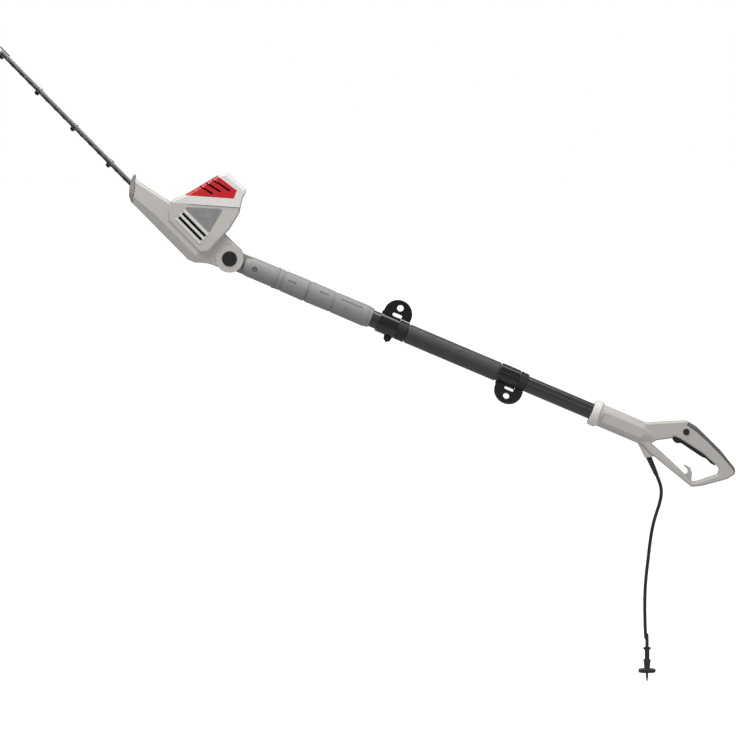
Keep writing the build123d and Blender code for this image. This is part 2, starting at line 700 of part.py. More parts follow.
with BuildPart() as tip_guard:
    with BuildSketch(head_side):
        with BuildLine():
            FilletPolyline(
                (BAR_END - 2, BAR_TOP + GUARD_THICKNESS / 2),
                (BAR_END + GUARD_BEND, BAR_TOP + GUARD_THICKNESS / 2),
                (BAR_END + GUARD_BEND + GUARD_REACH * cos(radians(HEAD_RISE)),
                 BAR_TOP + GUARD_THICKNESS / 2 - GUARD_REACH * sin(radians(HEAD_RISE))),
                radius=GUARD_BEND_RADIUS,
            )
        trace(line_width=GUARD_THICKNESS)
    extrude(amount=GUARD_HALF_WIDTH, both=True)
    with BuildSketch(head_level(BAR_TOP)):
        with Locations((BAR_END - GUARD_SEAT / 2, 0)):
            RectangleRounded(GUARD_SEAT, 2 * GUARD_HALF_WIDTH, 3)
        with Locations((BOLT_PLACES[-1], 0)):
            Circle(BOLT_HEAD_RADIUS + 0.5, mode=Mode.SUBTRACT)
    extrude(amount=GUARD_THICKNESS)
tip_guard.part.label = "tip_guard"
export_step(tip_guard.part, "parts/tip_guard.step")

# ---- Gearbox --------------------------------------------------------------------------------
PLATE_BOTTOM = -24.5
PLATE_THICKNESS = 7.0
BEARING_LIP = 1.5
GEAR_PIN_RADIUS = 4.0
GEAR_HUB_RADIUS = 8.0
GEAR_WEB = (11.0, 31.0)      # inner and outer radius of the hollow in the gear's face
GEAR_WEB_DEPTH = 2.5
BASE_PLATE_TOP = -49.0
BASE_PLATE_THICKNESS = 2.5
BASE_PLATE_SPAN = (76.0, 246.0)
CAM_GAP = 0.1
UPPER_CAM = (UPPER_BLADE_TOP + 0.05, UPPER_BLADE_TOP - BLADE_THICKNESS - CAM_GAP)
LOWER_CAM_BOTTOM = LOWER_BLADE_BOTTOM - 0.3
BASE_PLATE_WIDTH = 72.0
BASE_PLATE_CORNER = 10.0


def involute_flank(teeth, addendum, dedendum, thinning):
    """Points up one flank of a gear tooth that stands about the +X direction."""
    pitch_radius = MODULE * teeth / 2
    base_radius = pitch_radius * cos(radians(PRESSURE_ANGLE))
    half_angle = pi / (2 * teeth) - thinning / (2 * pitch_radius)
    base_half_angle = half_angle + tan(radians(PRESSURE_ANGLE)) - radians(PRESSURE_ANGLE)
    start_roll = sqrt(max(((pitch_radius - dedendum) / base_radius) ** 2 - 1, 0))
    end_roll = sqrt(((pitch_radius + addendum) / base_radius) ** 2 - 1)
    flank = []
    for step in range(FLANK_STEPS + 1):
        roll = start_roll + (end_roll - start_roll) * step / FLANK_STEPS
        radius = base_radius * sqrt(1 + roll**2)
        angle = base_half_angle - (roll - atan2(roll, 1))
        flank.append(Vector(radius * cos(angle), radius * sin(angle)))
    return flank


def toothed_wheel(plane, teeth, addendum, dedendum, thinning, turn):
    """The outline of a gear on a plane, with a tooth in the direction given by turn."""
    flank = involute_flank(teeth, addendum, dedendum, thinning)
    mirror_flank = [Vector(point.X, -point.Y) for point in flank]
    root_radius = MODULE * teeth / 2 - dedendum
    foot = flank[0] * ((root_radius - ROOT_OVERLAP) / flank[0].length)
    mirror_foot = Vector(foot.X, -foot.Y)
    with BuildSketch(Plane.XY) as tooth:
        with BuildLine():
            Line(mirror_foot, mirror_flank[0])
            Spline(*mirror_flank)
            ThreePointArc(mirror_flank[-1], (MODULE * teeth / 2 + addendum, 0), flank[-1])
            Spline(*flank[::-1])
            Polyline(flank[0], foot, mirror_foot)
        make_face()
    with BuildSketch(plane) as wheel:
        Circle(root_radius)
        with PolarLocations(0, teeth, start_angle=turn):
            add(tooth.sketch)
    return wheel.sketch


FLANK_STEPS = 4
ROOT_OVERLAP = 0.4           # the tooth reaches this far into the root circle
GEAR_ADDENDUM = 0.7 * MODULE
PINION_ADDENDUM = MODULE
ROOT_ROOM = 0.35
TOOTH_THINNING = 0.11        # each gear's share of the backlash

gear_plane = Plane(
    origin=tilt_axis + forward * GEAR_AT + upward * GEAR_BOTTOM, x_dir=forward, z_dir=upward
)
gear_outline = toothed_wheel(
    gear_plane, GEAR_TEETH, GEAR_ADDENDUM, PINION_ADDENDUM + ROOT_ROOM, TOOTH_THINNING, 0
)

with BuildPart() as drive_gear:
    extrude(gear_outline, amount=GEAR_THICKNESS)
    # lightened web
    with BuildSketch(gear_plane.offset(GEAR_THICKNESS)):
        Circle(GEAR_WEB[1])
        Circle(GEAR_WEB[0], mode=Mode.SUBTRACT)
    extrude(amount=-GEAR_WEB_DEPTH, mode=Mode.SUBTRACT)
    # hub and the two eccentrics, on opposite sides of the axis
    with BuildSketch(gear_plane):
        Circle(GEAR_HUB_RADIUS)
    extrude(amount=-(GEAR_BOTTOM - UPPER_CAM[0]))
    with BuildSketch(gear_plane.offset(UPPER_CAM[0] - GEAR_BOTTOM)):
        with Locations((0, CAM_THROW)):
            Circle(CAM_RADIUS)
        Circle(GEAR_HUB_RADIUS)
    extrude(amount=UPPER_CAM[1] - UPPER_CAM[0])
    with BuildSketch(gear_plane.offset(UPPER_CAM[1] - GEAR_BOTTOM)):
        with Locations((0, -CAM_THROW)):
            Circle(CAM_RADIUS)
        Circle(GEAR_HUB_RADIUS)
    extrude(amount=LOWER_CAM_BOTTOM - UPPER_CAM[1])
    with BuildSketch(gear_plane.offset(GEAR_THICKNESS)):
        Circle(GEAR_PIN_RADIUS + RUNNING_FIT)
    extrude(amount=LOWER_CAM_BOTTOM - GEAR_BOTTOM - GEAR_THICKNESS, mode=Mode.SUBTRACT)
drive_gear.part.label = "drive_gear"
export_step(drive_gear.part, "parts/drive_gear.step")

with BuildPart() as gear_pin:
    with BuildSketch(head_level(BASE_PLATE_TOP - BASE_PLATE_THICKNESS)):
        with Locations((GEAR_AT, 0)):
            Circle(GEAR_PIN_RADIUS)
    extrude(amount=PLATE_BOTTOM + PLATE_THICKNESS - BASE_PLATE_TOP + BASE_PLATE_THICKNESS)
gear_pin.part.label = "gear_pin"
export_step(gear_pin.part, "parts/gear_pin.step")

GEARBOX_LENGTH = (74, 196)
GEARBOX_HALF_WIDTH = 40.0
GEARBOX_CORNER = 12.0
BAR_SEAT = (190.0, 250.0)     # nose of the gearbox plate, on top of the guide bar
BAR_SEAT_HALF_WIDTH = 13.0
BAR_STEP = (197.0, 201.0)    # the step between the plate and its nose, in front of the gear
PILLAR_PLACES = [(84, 34), (84, -34), (192, 34), (192, -34)]
PILLAR_RADIUS = 4.5

# Cast plate: carries the lower motor bearing, the gear pin and the root of the guide bar.
with BuildPart() as gearbox_plate:
    with BuildSketch(head_level(PLATE_BOTTOM)):
        with Locations((sum(GEARBOX_LENGTH) / 2, 0)):
            RectangleRounded(
                GEARBOX_LENGTH[1] - GEARBOX_LENGTH[0], 2 * GEARBOX_HALF_WIDTH, GEARBOX_CORNER
            )
    extrude(amount=PLATE_THICKNESS)
    # step down in front of the gear, and the nose that lies on the guide bar
    with BuildSketch(head_level(PLATE_BOTTOM)):
        with Locations(((BAR_SEAT[0] + BAR_STEP[1]) / 2, 0)):
            Rectangle(BAR_STEP[1] - BAR_SEAT[0], 2 * BAR_SEAT_HALF_WIDTH)
    extrude(amount=PLATE_THICKNESS)
    with BuildSketch(head_level(BAR_TOP)):
        with Locations((sum(BAR_STEP) / 2, 0)):
            Rectangle(BAR_STEP[1] - BAR_STEP[0], 2 * BAR_SEAT_HALF_WIDTH)
    extrude(amount=PLATE_BOTTOM + PLATE_THICKNESS - BAR_TOP)
    with BuildSketch(head_level(BAR_TOP)):
        with Locations(((BAR_STEP[0] + BAR_SEAT[1]) / 2, 0)):
            Rectangle(BAR_SEAT[1] - BAR_STEP[0], 2 * BAR_SEAT_HALF_WIDTH)
        for place in BAR_RIVET_PLACES:
            with Locations((place, 0)):
                Circle(BAR_RIVET_RADIUS, mode=Mode.SUBTRACT)
    extrude(amount=BAR_SEAT_TOP - BAR_TOP)
    with BuildSketch(head_level(PLATE_BOTTOM)):
        with Locations((MOTOR_AT, 0)):
            Circle(BEARING_RADIUS + BEARING_BOSS_WALL)
    extrude(amount=BEARING_WIDTH + BEARING_LIP)
    with BuildSketch(head_level(PLATE_BOTTOM)):
        for place in PILLAR_PLACES:
            with Locations(place):
                Circle(PILLAR_RADIUS)
    extrude(amount=BASE_PLATE_TOP - PLATE_BOTTOM)
    with BuildSketch(head_level(PLATE_BOTTOM)):
        with Locations((MOTOR_AT, 0)):
            Circle(BEARING_RADIUS)
    extrude(amount=BEARING_WIDTH, mode=Mode.SUBTRACT)
    with BuildSketch(head_level(PLATE_BOTTOM)):
        with Locations((MOTOR_AT, 0)):
            Circle(SHAFT_RADIUS + SHAFT_ROOM)
        with Locations((GEAR_AT, 0)):
            Circle(GEAR_PIN_RADIUS)
    extrude(amount=THROUGH, mode=Mode.SUBTRACT)
gearbox_plate.part.label = "gearbox_plate"
export_step(gearbox_plate.part, "parts/gearbox_plate.step")

# Steel plate under the blades.
with BuildPart() as base_plate:
    with BuildSketch(head_level(BASE_PLATE_TOP)):
        with Locations((sum(BASE_PLATE_SPAN) / 2, 0)):
            RectangleRounded(
                BASE_PLATE_SPAN[1] - BASE_PLATE_SPAN[0], BASE_PLATE_WIDTH, BASE_PLATE_CORNER
            )
        with Locations((GEAR_AT, 0)):
            Circle(GEAR_PIN_RADIUS, mode=Mode.SUBTRACT)
    extrude(amount=-BASE_PLATE_THICKNESS)
base_plate.part.label = "base_plate"
export_step(base_plate.part, "parts/base_plate.step")

# ---- Motor ----------------------------------------------------------------------------------
STATOR_HALF_FLAT = 29.0      # the laminations are flattened left and right
AIR_GAP = 0.6
COIL_HEIGHT = 9.0
COMMUTATOR_RADIUS = 11.0
COMMUTATOR = (72.0, 88.0)
FAN_RADIUS = 30.0
FAN_LEVEL = -8.0
FAN_HEIGHT = 14.0
FAN_BLADES = 9
FAN_DISC = 2.0
FAN_BLADE = (17.0, 1.6)
FAN_BLADE_TURN = 25.0
FAN_HUB_WALL = 4.0
ROTOR_SLOTS = 12
ROTOR_SLOT = (8.0, 2.4)
SEGMENT_GAP = (1.6, 0.5)     # between the segments of the commutator
BRUSH_GAP = 0.3
COIL_SEAT = 0.2              # between the windings and the laminations
WINDING_POCKET = (9.0, 12.0)
SHAFT_END = 2.0
SHAFT_CHAMFER = 0.6
BRUSH_HOLDER = (9.0, 16.0, 8.0)

with BuildPart() as motor_stator:
    with BuildSketch(head_level(STACK_BOTTOM)):
        with Locations((MOTOR_AT, 0)):
            Circle(STATOR_RADIUS)
            Rectangle(2 * STATOR_RADIUS, 2 * STATOR_HALF_FLAT, mode=Mode.INTERSECT)
            Circle(ROTOR_RADIUS + AIR_GAP, mode=Mode.SUBTRACT)
    extrude(amount=STACK_HEIGHT)
    # winding pockets
    with BuildSketch(head_level(STACK_BOTTOM)):
        with Locations((MOTOR_AT, 0)):
            with PolarLocations(ROTOR_RADIUS + 5.5, 4, start_angle=45):
                Rectangle(*WINDING_POCKET)
    extrude(amount=STACK_HEIGHT, mode=Mode.SUBTRACT)
motor_stator.part.label = "motor_stator"
export_step(motor_stator.part, "parts/motor_stator.step")

with BuildPart() as field_coils:
    for bottom in (STACK_BOTTOM - COIL_HEIGHT, STACK_BOTTOM + STACK_HEIGHT + COIL_SEAT):
        with BuildSketch(head_level(bottom)):
            with Locations((MOTOR_AT, 0)):
                Circle(STATOR_RADIUS - 4)
                Circle(ROTOR_RADIUS + 2, mode=Mode.SUBTRACT)
                Rectangle(4, 3 * STATOR_RADIUS, mode=Mode.SUBTRACT)
        extrude(amount=COIL_HEIGHT - COIL_SEAT)
field_coils.part.label = "field_coils"
export_step(field_coils.part, "parts/field_coils.step")

pinion_plane = Plane(
    origin=tilt_axis + forward * MOTOR_AT + upward * GEAR_BOTTOM, x_dir=forward, z_dir=upward
)
pinion_outline = toothed_wheel(
    pinion_plane, PINION_TEETH, PINION_ADDENDUM, GEAR_ADDENDUM + ROOT_ROOM, TOOTH_THINNING,
    180 / PINION_TEETH,
)

with BuildPart() as motor_shaft:
    extrude(pinion_outline, amount=GEAR_THICKNESS)
    with BuildSketch(pinion_plane):
        Circle(SHAFT_RADIUS)
    extrude(amount=UPPER_BEARING_AT + BEARING_WIDTH + SHAFT_END - GEAR_BOTTOM)
    shaft_ends = motor_shaft.edges().filter_by(GeomType.CIRCLE).sort_by(Axis(tilt_axis, upward))
    chamfer(shaft_ends[-1], SHAFT_CHAMFER)
motor_shaft.part.label = "motor_shaft"
export_step(motor_shaft.part, "parts/motor_shaft.step")

with BuildPart() as armature_core:
    with BuildSketch(head_level(STACK_BOTTOM)):
        with Locations((MOTOR_AT, 0)):
            Circle(ROTOR_RADIUS)
            with PolarLocations(ROTOR_RADIUS - 3, ROTOR_SLOTS):
                SlotOverall(*ROTOR_SLOT, mode=Mode.SUBTRACT)
            Circle(SHAFT_RADIUS, mode=Mode.SUBTRACT)
    extrude(amount=STACK_HEIGHT)
armature_core.part.label = "armature_core"
export_step(armature_core.part, "parts/armature_core.step")

with BuildPart() as commutator:
    with BuildSketch(head_level(COMMUTATOR[0])):
        with Locations((MOTOR_AT, 0)):
            Circle(COMMUTATOR_RADIUS)
            with PolarLocations(COMMUTATOR_RADIUS, 2 * ROTOR_SLOTS):
                Rectangle(*SEGMENT_GAP, mode=Mode.SUBTRACT)
            Circle(SHAFT_RADIUS, mode=Mode.SUBTRACT)
    extrude(amount=COMMUTATOR[1] - COMMUTATOR[0])
commutator.part.label = "commutator"
export_step(commutator.part, "parts/commutator.step")

with BuildPart() as cooling_fan:
    with BuildSketch(head_level(FAN_LEVEL)):
        with Locations((MOTOR_AT, 0)):
            Circle(FAN_RADIUS)
            Circle(SHAFT_RADIUS, mode=Mode.SUBTRACT)
    extrude(amount=FAN_DISC)
    with BuildSketch(head_level(FAN_LEVEL)):
        with Locations((MOTOR_AT, 0)):
            Circle(SHAFT_RADIUS + FAN_HUB_WALL)
            with PolarLocations(FAN_RADIUS - 9, FAN_BLADES):
                Rectangle(*FAN_BLADE, rotation=FAN_BLADE_TURN)
            Circle(SHAFT_RADIUS, mode=Mode.SUBTRACT)
    extrude(amount=-FAN_HEIGHT / 2)
cooling_fan.part.label = "cooling_fan"
export_step(cooling_fan.part, "parts/cooling_fan.step")

with BuildPart() as motor_bearings:
    for level in (PLATE_BOTTOM, UPPER_BEARING_AT):
        with BuildSketch(head_level(level)):
            with Locations((MOTOR_AT, 0)):
                Circle(BEARING_RADIUS)
                Circle(SHAFT_RADIUS + RUNNING_FIT, mode=Mode.SUBTRACT)
        extrude(amount=BEARING_WIDTH)
motor_bearings.part.label = "motor_bearings"
export_step(motor_bearings.part, "parts/motor_bearings.step")

# Brass holders with their carbon brushes, left and right of the commutator.
with BuildPart() as brush_holders:
    with BuildSketch(head_level(sum(COMMUTATOR) / 2 - BRUSH_HOLDER[2] / 2)):
        for side in (-1, 1):
            with Locations((MOTOR_AT, side * (COMMUTATOR_RADIUS + BRUSH_GAP + BRUSH_HOLDER[1] / 2))):
                Rectangle(BRUSH_HOLDER[0], BRUSH_HOLDER[1])
    extrude(amount=BRUSH_HOLDER[2])
brush_holders.part.label = "brush_holders"
export_step(brush_holders.part, "parts/brush_holders.step")

# ---- Tilt joint -----------------------------------------------------------------------------
LOCK_RING_THICKNESS = 7.0
LOCK_RING_FACE = EAR_WEB_INNER - 0.2     # left face of the lock ring at rest, left of the middle
LOCK_TOOTH = (4.2, 2.4)                  # radial reach and width
LOCK_ROOT_RADIUS = 11.4
LOCK_POCKET_FIT = 0.12
BUTTON_PROUD = 2.5                       # the button stands this far out of the ear
BUTTON_DEPTH = 5.4
BUTTON_ROUNDING = 2.0
BUTTON_DISH_RADIUS = 11.0
BUTTON_DISH_DEPTH = 0.8
BUTTON_RELIEF = 3.4                      # hollow at the back, round the head of the axle
AXLE_HEAD_HEIGHT = 2.0
AXLE_END_ROOM = 1.5                      # the axle ends this far inside the right ear's face
TONGUE_HALF_WIDTH = 14.0
TONGUE_RADIUS = 31.0
LOCK_POCKET_FLOOR = 5.0
SPRING_POCKET_FLOOR = -8.0
SPRING_POCKET_RADIUS = 9.0
TILT_SPRING_RADIUS = 6.6
TILT_SPRING_WIRE = 0.7                   # radius of the wire
SPRING_END_GAP = 0.1
TILT_SPRING_TURNS = 6


def lock_outline(growth):
    """The toothed outline shared by the lock ring and its pocket, in the open sketch."""
    Circle(LOCK_ROOT_RADIUS + growth)
    with PolarLocations(LOCK_RING_RADIUS - LOCK_TOOTH[0] / 2, LOCK_TEETH):
        Rectangle(LOCK_TOOTH[0] + 2 * growth, LOCK_TOOTH[1] + 2 * growth)


with BuildPart() as tilt_button:
    button_back = -EAR_OUTER - BUTTON_PROUD + BUTTON_DEPTH
    with BuildSketch(head_side.offset(-EAR_OUTER - BUTTON_PROUD)):
        Circle(BUTTON_RADIUS)
    extrude(amount=BUTTON_DEPTH)
    fillet(tilt_button.faces().sort_by(Axis.Y)[0].edges(), BUTTON_ROUNDING)
    # shallow dish for the thumb
    with BuildSketch(head_side.offset(-EAR_OUTER - BUTTON_PROUD)):
        Circle(BUTTON_DISH_RADIUS)
    extrude(amount=BUTTON_DISH_DEPTH, mode=Mode.SUBTRACT)
    with BuildSketch(head_side.offset(button_back)):
        Circle(AXLE_HEAD_RADIUS + 3 * LOOSE_FIT)
    extrude(amount=-BUTTON_RELIEF, mode=Mode.SUBTRACT)
    # legs that reach through the ear to the lock ring
    with BuildSketch(head_side.offset(button_back)):
        with PolarLocations(BUTTON_LEG_CIRCLE, BUTTON_LEGS):
            Circle(BUTTON_LEG_RADIUS)
    extrude(amount=-button_back - LOCK_RING_FACE)
tilt_button.part.label = "tilt_button"
export_step(tilt_button.part, "parts/tilt_button.step")

with BuildPart() as tilt_lock_ring:
    with BuildSketch(head_side.offset(-LOCK_RING_FACE)):
        lock_outline(0.0)
        Circle(AXLE_RADIUS + LOOSE_FIT, mode=Mode.SUBTRACT)
    extrude(amount=LOCK_RING_THICKNESS)
tilt_lock_ring.part.label = "tilt_lock_ring"
export_step(tilt_lock_ring.part, "parts/tilt_lock_ring.step")

def coiled_wire(start, direction, length, turns, coil_radius, wire_radius):
    """A round wire wound round a straight axis."""
    with BuildPart() as wire:
        with BuildLine() as coil:
            Helix(length / turns, length, coil_radius, center=start, direction=direction)
        with BuildSketch(Plane(origin=coil.line @ 0, z_dir=coil.line % 0)):
            Circle(wire_radius)
        sweep(path=coil.line, is_frenet=True)
    return wire.part


spring_start = -LOCK_RING_FACE + LOCK_RING_THICKNESS + TILT_SPRING_WIRE + SPRING_END_GAP
spring_end = -SPRING_POCKET_FLOOR - TILT_SPRING_WIRE - SPRING_END_GAP

with BuildPart() as tilt_spring:
    add(
        coiled_wire(
            tilt_axis + Vector(0, spring_start, 0), (0, 1, 0), spring_end - spring_start,
            TILT_SPRING_TURNS, TILT_SPRING_RADIUS, TILT_SPRING_WIRE,
        )
    )
tilt_spring.part.label = "tilt_spring"
export_step(tilt_spring.part, "parts/tilt_spring.step")

with BuildPart() as tilt_axle:
    with BuildSketch(head_side.offset(-EAR_WEB_OUTER)):
        Circle(AXLE_HEAD_RADIUS)
    extrude(amount=-AXLE_HEAD_HEIGHT)
    with BuildSketch(head_side.offset(-EAR_WEB_OUTER)):
        Circle(AXLE_RADIUS)
    extrude(amount=EAR_WEB_OUTER + EAR_OUTER - AXLE_END_ROOM)
    # its nut, a separate solid
    with BuildSketch(head_side.offset(EAR_OUTER - AXLE_NUT_HEIGHT)):
        RegularPolygon(AXLE_NUT_RADIUS, 6)
        Circle(AXLE_RADIUS + RUNNING_FIT, mode=Mode.SUBTRACT)
    extrude(amount=AXLE_NUT_HEIGHT - 1)
tilt_axle.part.label = "tilt_axle"
export_step(tilt_axle.part, "parts/tilt_axle.step")

# ---- Pole: front section --------------------------------------------------------------------
KNUCKLE_START = 35.0
KNUCKLE_OVERLAP = 10.0       # the tongue runs this far into the knuckle
KNUCKLE_RADIUS = 24.0
KNUCKLE_FLANGE = 1.6         # raised rim against the grip
TONGUE_FLAT = 2.0            # the tongue's bar is this much lower than the knuckle
KNUCKLE_SCREW_AT = 63.0
KNUCKLE_SCREW_SEAT = 19.0
KNUCKLE_SCREW_RADIUS = 2.0
KNUCKLE_SCREW_HEAD = 4.2
TUBE_FIT = 0.05              # radial room of the tube in the parts clamped round it
CABLE_BORE = 8.0
CABLE_BORE_START = 43.0
KNUCKLE_SCREW_ROOM = 5.8     # radius of the recess round the screw
KNUCKLE_SCREW_LENGTH = 8.5
KNUCKLE_HEAD_HEIGHT = 2.6

with BuildPart() as knuckle:
    with BuildSketch(pole_side):
        Circle(TONGUE_RADIUS)
        with Locations((KNUCKLE_START / 2, 0)):
            Rectangle(KNUCKLE_START + 2 * KNUCKLE_OVERLAP, 2 * (KNUCKLE_RADIUS - TONGUE_FLAT))
    extrude(amount=TONGUE_HALF_WIDTH, both=True)
    with BuildSketch(pole_side):
        with BuildLine():
            Polyline(
                (KNUCKLE_START, 0), (KNUCKLE_START, 19), (KNUCKLE_START + 3, 22),
                (KNUCKLE_START + 14, KNUCKLE_RADIUS), (GRIP_START - 5, KNUCKLE_RADIUS),
                (GRIP_START - 4, KNUCKLE_RADIUS + KNUCKLE_FLANGE),
                (GRIP_START, KNUCKLE_RADIUS + KNUCKLE_FLANGE),
                (GRIP_START, 0), (KNUCKLE_START, 0),
            )
        make_face()
    revolve(axis=Axis(tilt_axis, along))
    # socket of the outer tube, and the cable bore in front of it
    with BuildSketch(across_pole(OUTER_TUBE_START)):
        Circle(OUTER_TUBE_RADIUS + TUBE_FIT)
    extrude(amount=THROUGH, mode=Mode.SUBTRACT)
    with BuildSketch(across_pole(CABLE_BORE_START)):
        Circle(CABLE_BORE)
    extrude(amount=OUTER_TUBE_START - CABLE_BORE_START, mode=Mode.SUBTRACT)
    # tilt joint: toothed pocket, spring pocket, axle hole
    with BuildSketch(pole_side.offset(TONGUE_HALF_WIDTH)):
        lock_outline(LOCK_POCKET_FIT)
    extrude(amount=-(TONGUE_HALF_WIDTH - LOCK_POCKET_FLOOR), mode=Mode.SUBTRACT)
    with BuildSketch(pole_side.offset(LOCK_POCKET_FLOOR)):
        Circle(SPRING_POCKET_RADIUS)
    extrude(amount=-(LOCK_POCKET_FLOOR - SPRING_POCKET_FLOOR), mode=Mode.SUBTRACT)
    with BuildSketch(pole_side):
        Circle(AXLE_RADIUS + RUNNING_FIT)
    extrude(amount=-2 * TONGUE_HALF_WIDTH, mode=Mode.SUBTRACT)
    # side screws
    for side in (-1, 1):
        with BuildSketch(pole_side.offset(side * KNUCKLE_SCREW_SEAT)):
            with Locations((KNUCKLE_SCREW_AT, 0)):
                Circle(KNUCKLE_SCREW_ROOM)
        extrude(amount=side * THROUGH, mode=Mode.SUBTRACT)
        with BuildSketch(pole_side.offset(side * KNUCKLE_SCREW_SEAT)):
            with Locations((KNUCKLE_SCREW_AT, 0)):
                Circle(KNUCKLE_SCREW_RADIUS + RUNNING_FIT)
        extrude(amount=-side * (KNUCKLE_SCREW_LENGTH + 0.5), mode=Mode.SUBTRACT)
knuckle.part.label = "knuckle"
export_step(knuckle.part, "parts/knuckle.step")

GRIP_GROOVES = (132, 194, 258)
GRIP_GROOVE_WIDTH = 5.0
GRIP_GROOVE_DEPTH = 1.4
GRIP_DASHES = [(144, 163, 7), (220, 243, 11.5), (272, 325, 15)]   # start, end, height
GRIP_SCREW_PLACES = [(168, 22.3), (168, -22.3), (336, 22.3), (336, -22.3)]
GRIP_SCREW_RADIUS = 1.2
GRIP_SCREW_HEAD = 2.3
GRIP_SCREW_SEAT = 5.0
TUBE_SCREW_AT = (289, -2)
TUBE_SCREW_RADIUS = 1.8
TUBE_SCREW_HEAD = 3.4
TUBE_SCREW_SEAT = GRIP_RADIUS - 2.4
SMALL_HEAD_HEIGHT = 1.8
DASH_HEIGHT = 3.0
DASH_DEPTH = 1.2

with BuildPart() as front_grip:
    with BuildSketch(pole_side):
        with BuildLine():
            FilletPolyline(
                (GRIP_START, OUTER_TUBE_RADIUS + TUBE_FIT), (GRIP_START, GRIP_RADIUS - 0.6),
                (GRIP_START + 70, GRIP_RADIUS + 0.4), (GRIP_START + 140, GRIP_RADIUS - 0.4),
                (GRIP_END - 14, GRIP_RADIUS), (GRIP_END, GRIP_RADIUS - 2.5),
                (GRIP_END, OUTER_TUBE_RADIUS + TUBE_FIT),
                radius=[0, 1.5, 0, 0, 8, 1.5, 0], close=True,
            )
        make_face()
        for groove in GRIP_GROOVES:
            with Locations((groove, GRIP_RADIUS + 2)):
                Rectangle(GRIP_GROOVE_WIDTH, 2 * (GRIP_GROOVE_DEPTH + 2), mode=Mode.SUBTRACT)
    revolve(axis=Axis(tilt_axis, along))
    # short flutes along both sides
    for start, end, height in GRIP_DASHES:
        for side in (-1, 1):
            floor = sqrt(GRIP_RADIUS**2 - height**2) - DASH_DEPTH
            with BuildSketch(pole_side.offset(side * floor)):
                with Locations(((start + end) / 2, height)):
                    SlotOverall(end - start, DASH_HEIGHT)
            extrude(amount=side * THROUGH, mode=Mode.SUBTRACT)
    with BuildSketch(pole_side):
        with Locations(*GRIP_SCREW_PLACES):
            Circle(GRIP_SCREW_RADIUS + RUNNING_FIT)
    extrude(amount=GRIP_SCREW_SEAT + 3, both=True, mode=Mode.SUBTRACT)
    with BuildSketch(pole_side.offset(-GRIP_SCREW_SEAT)):
        with Locations(*GRIP_SCREW_PLACES):
            Circle(GRIP_SCREW_HEAD + RUNNING_FIT)
    extrude(amount=-THROUGH, mode=Mode.SUBTRACT)


def front_grip_half(side):
    """Half of the front grip: side is -1 for the left half and 1 for the right half."""
    face = Plane.XZ if side < 0 else -Plane.XZ
    with BuildPart() as half:
        add(front_grip.part)
        split(bisect_by=face, keep=Keep.TOP)
        if side < 0:
            with BuildSketch(pole_side):
                with Locations(TUBE_SCREW_AT):
                    Circle(TUBE_SCREW_RADIUS + RUNNING_FIT)
            extrude(amount=THROUGH, mode=Mode.SUBTRACT)
            with BuildSketch(pole_side.offset(TUBE_SCREW_SEAT)):
                with Locations(TUBE_SCREW_AT):
                    Circle(TUBE_SCREW_HEAD + LOOSE_FIT)
            extrude(amount=THROUGH, mode=Mode.SUBTRACT)
    return half


front_grip_left = front_grip_half(-1)
front_grip_left.part.label = "front_grip_left"
export_step(front_grip_left.part, "parts/front_grip_left.step")

front_grip_right = front_grip_half(1)
front_grip_right.part.label = "front_grip_right"
export_step(front_grip_right.part, "parts/front_grip_right.step")

with BuildPart() as pole_screws:
    with BuildSketch(pole_side.offset(7)):
        with Locations(*GRIP_SCREW_PLACES):
            Circle(GRIP_SCREW_RADIUS)
    extrude(amount=-7 - GRIP_SCREW_SEAT)
    with BuildSketch(pole_side.offset(-GRIP_SCREW_SEAT)):
        with Locations(*GRIP_SCREW_PLACES):
            Circle(GRIP_SCREW_HEAD)
    extrude(amount=-SMALL_HEAD_HEIGHT)
    with BuildSketch(pole_side.offset(OUTER_TUBE_RADIUS - OUTER_TUBE_WALL + 0.1)):
        with Locations(TUBE_SCREW_AT):
            Circle(TUBE_SCREW_RADIUS)
    extrude(amount=TUBE_SCREW_SEAT - OUTER_TUBE_RADIUS + OUTER_TUBE_WALL)
    with BuildSketch(pole_side.offset(TUBE_SCREW_SEAT)):
        with Locations(TUBE_SCREW_AT):
            Circle(TUBE_SCREW_HEAD)
    extrude(amount=SMALL_HEAD_HEIGHT)
    with BuildSketch(pole_side.offset(TUBE_SCREW_SEAT + SMALL_HEAD_HEIGHT)):
        with Locations(TUBE_SCREW_AT):
            cross_recess(4.2, 0.9)
    extrude(amount=-0.6 * SMALL_HEAD_HEIGHT, mode=Mode.SUBTRACT)
    # the two larger screws in the sides of the knuckle
    for side in (-1, 1):
        with BuildSketch(pole_side.offset(side * KNUCKLE_SCREW_SEAT)):
            with Locations((KNUCKLE_SCREW_AT, 0)):
                Circle(KNUCKLE_SCREW_RADIUS)
        extrude(amount=-side * KNUCKLE_SCREW_LENGTH)
        with BuildSketch(pole_side.offset(side * KNUCKLE_SCREW_SEAT)):
            with Locations((KNUCKLE_SCREW_AT, 0)):
                Circle(KNUCKLE_SCREW_HEAD)
        extrude(amount=side * KNUCKLE_HEAD_HEIGHT)
        with BuildSketch(pole_side.offset(side * (KNUCKLE_SCREW_SEAT + KNUCKLE_HEAD_HEIGHT))):
            with Locations((KNUCKLE_SCREW_AT, 0)):
                cross_recess(5, 1.1)
        extrude(amount=-side * 0.6 * KNUCKLE_HEAD_HEIGHT, mode=Mode.SUBTRACT)
pole_screws.part.label = "pole_screws"
export_step(pole_screws.part, "parts/pole_screws.step")

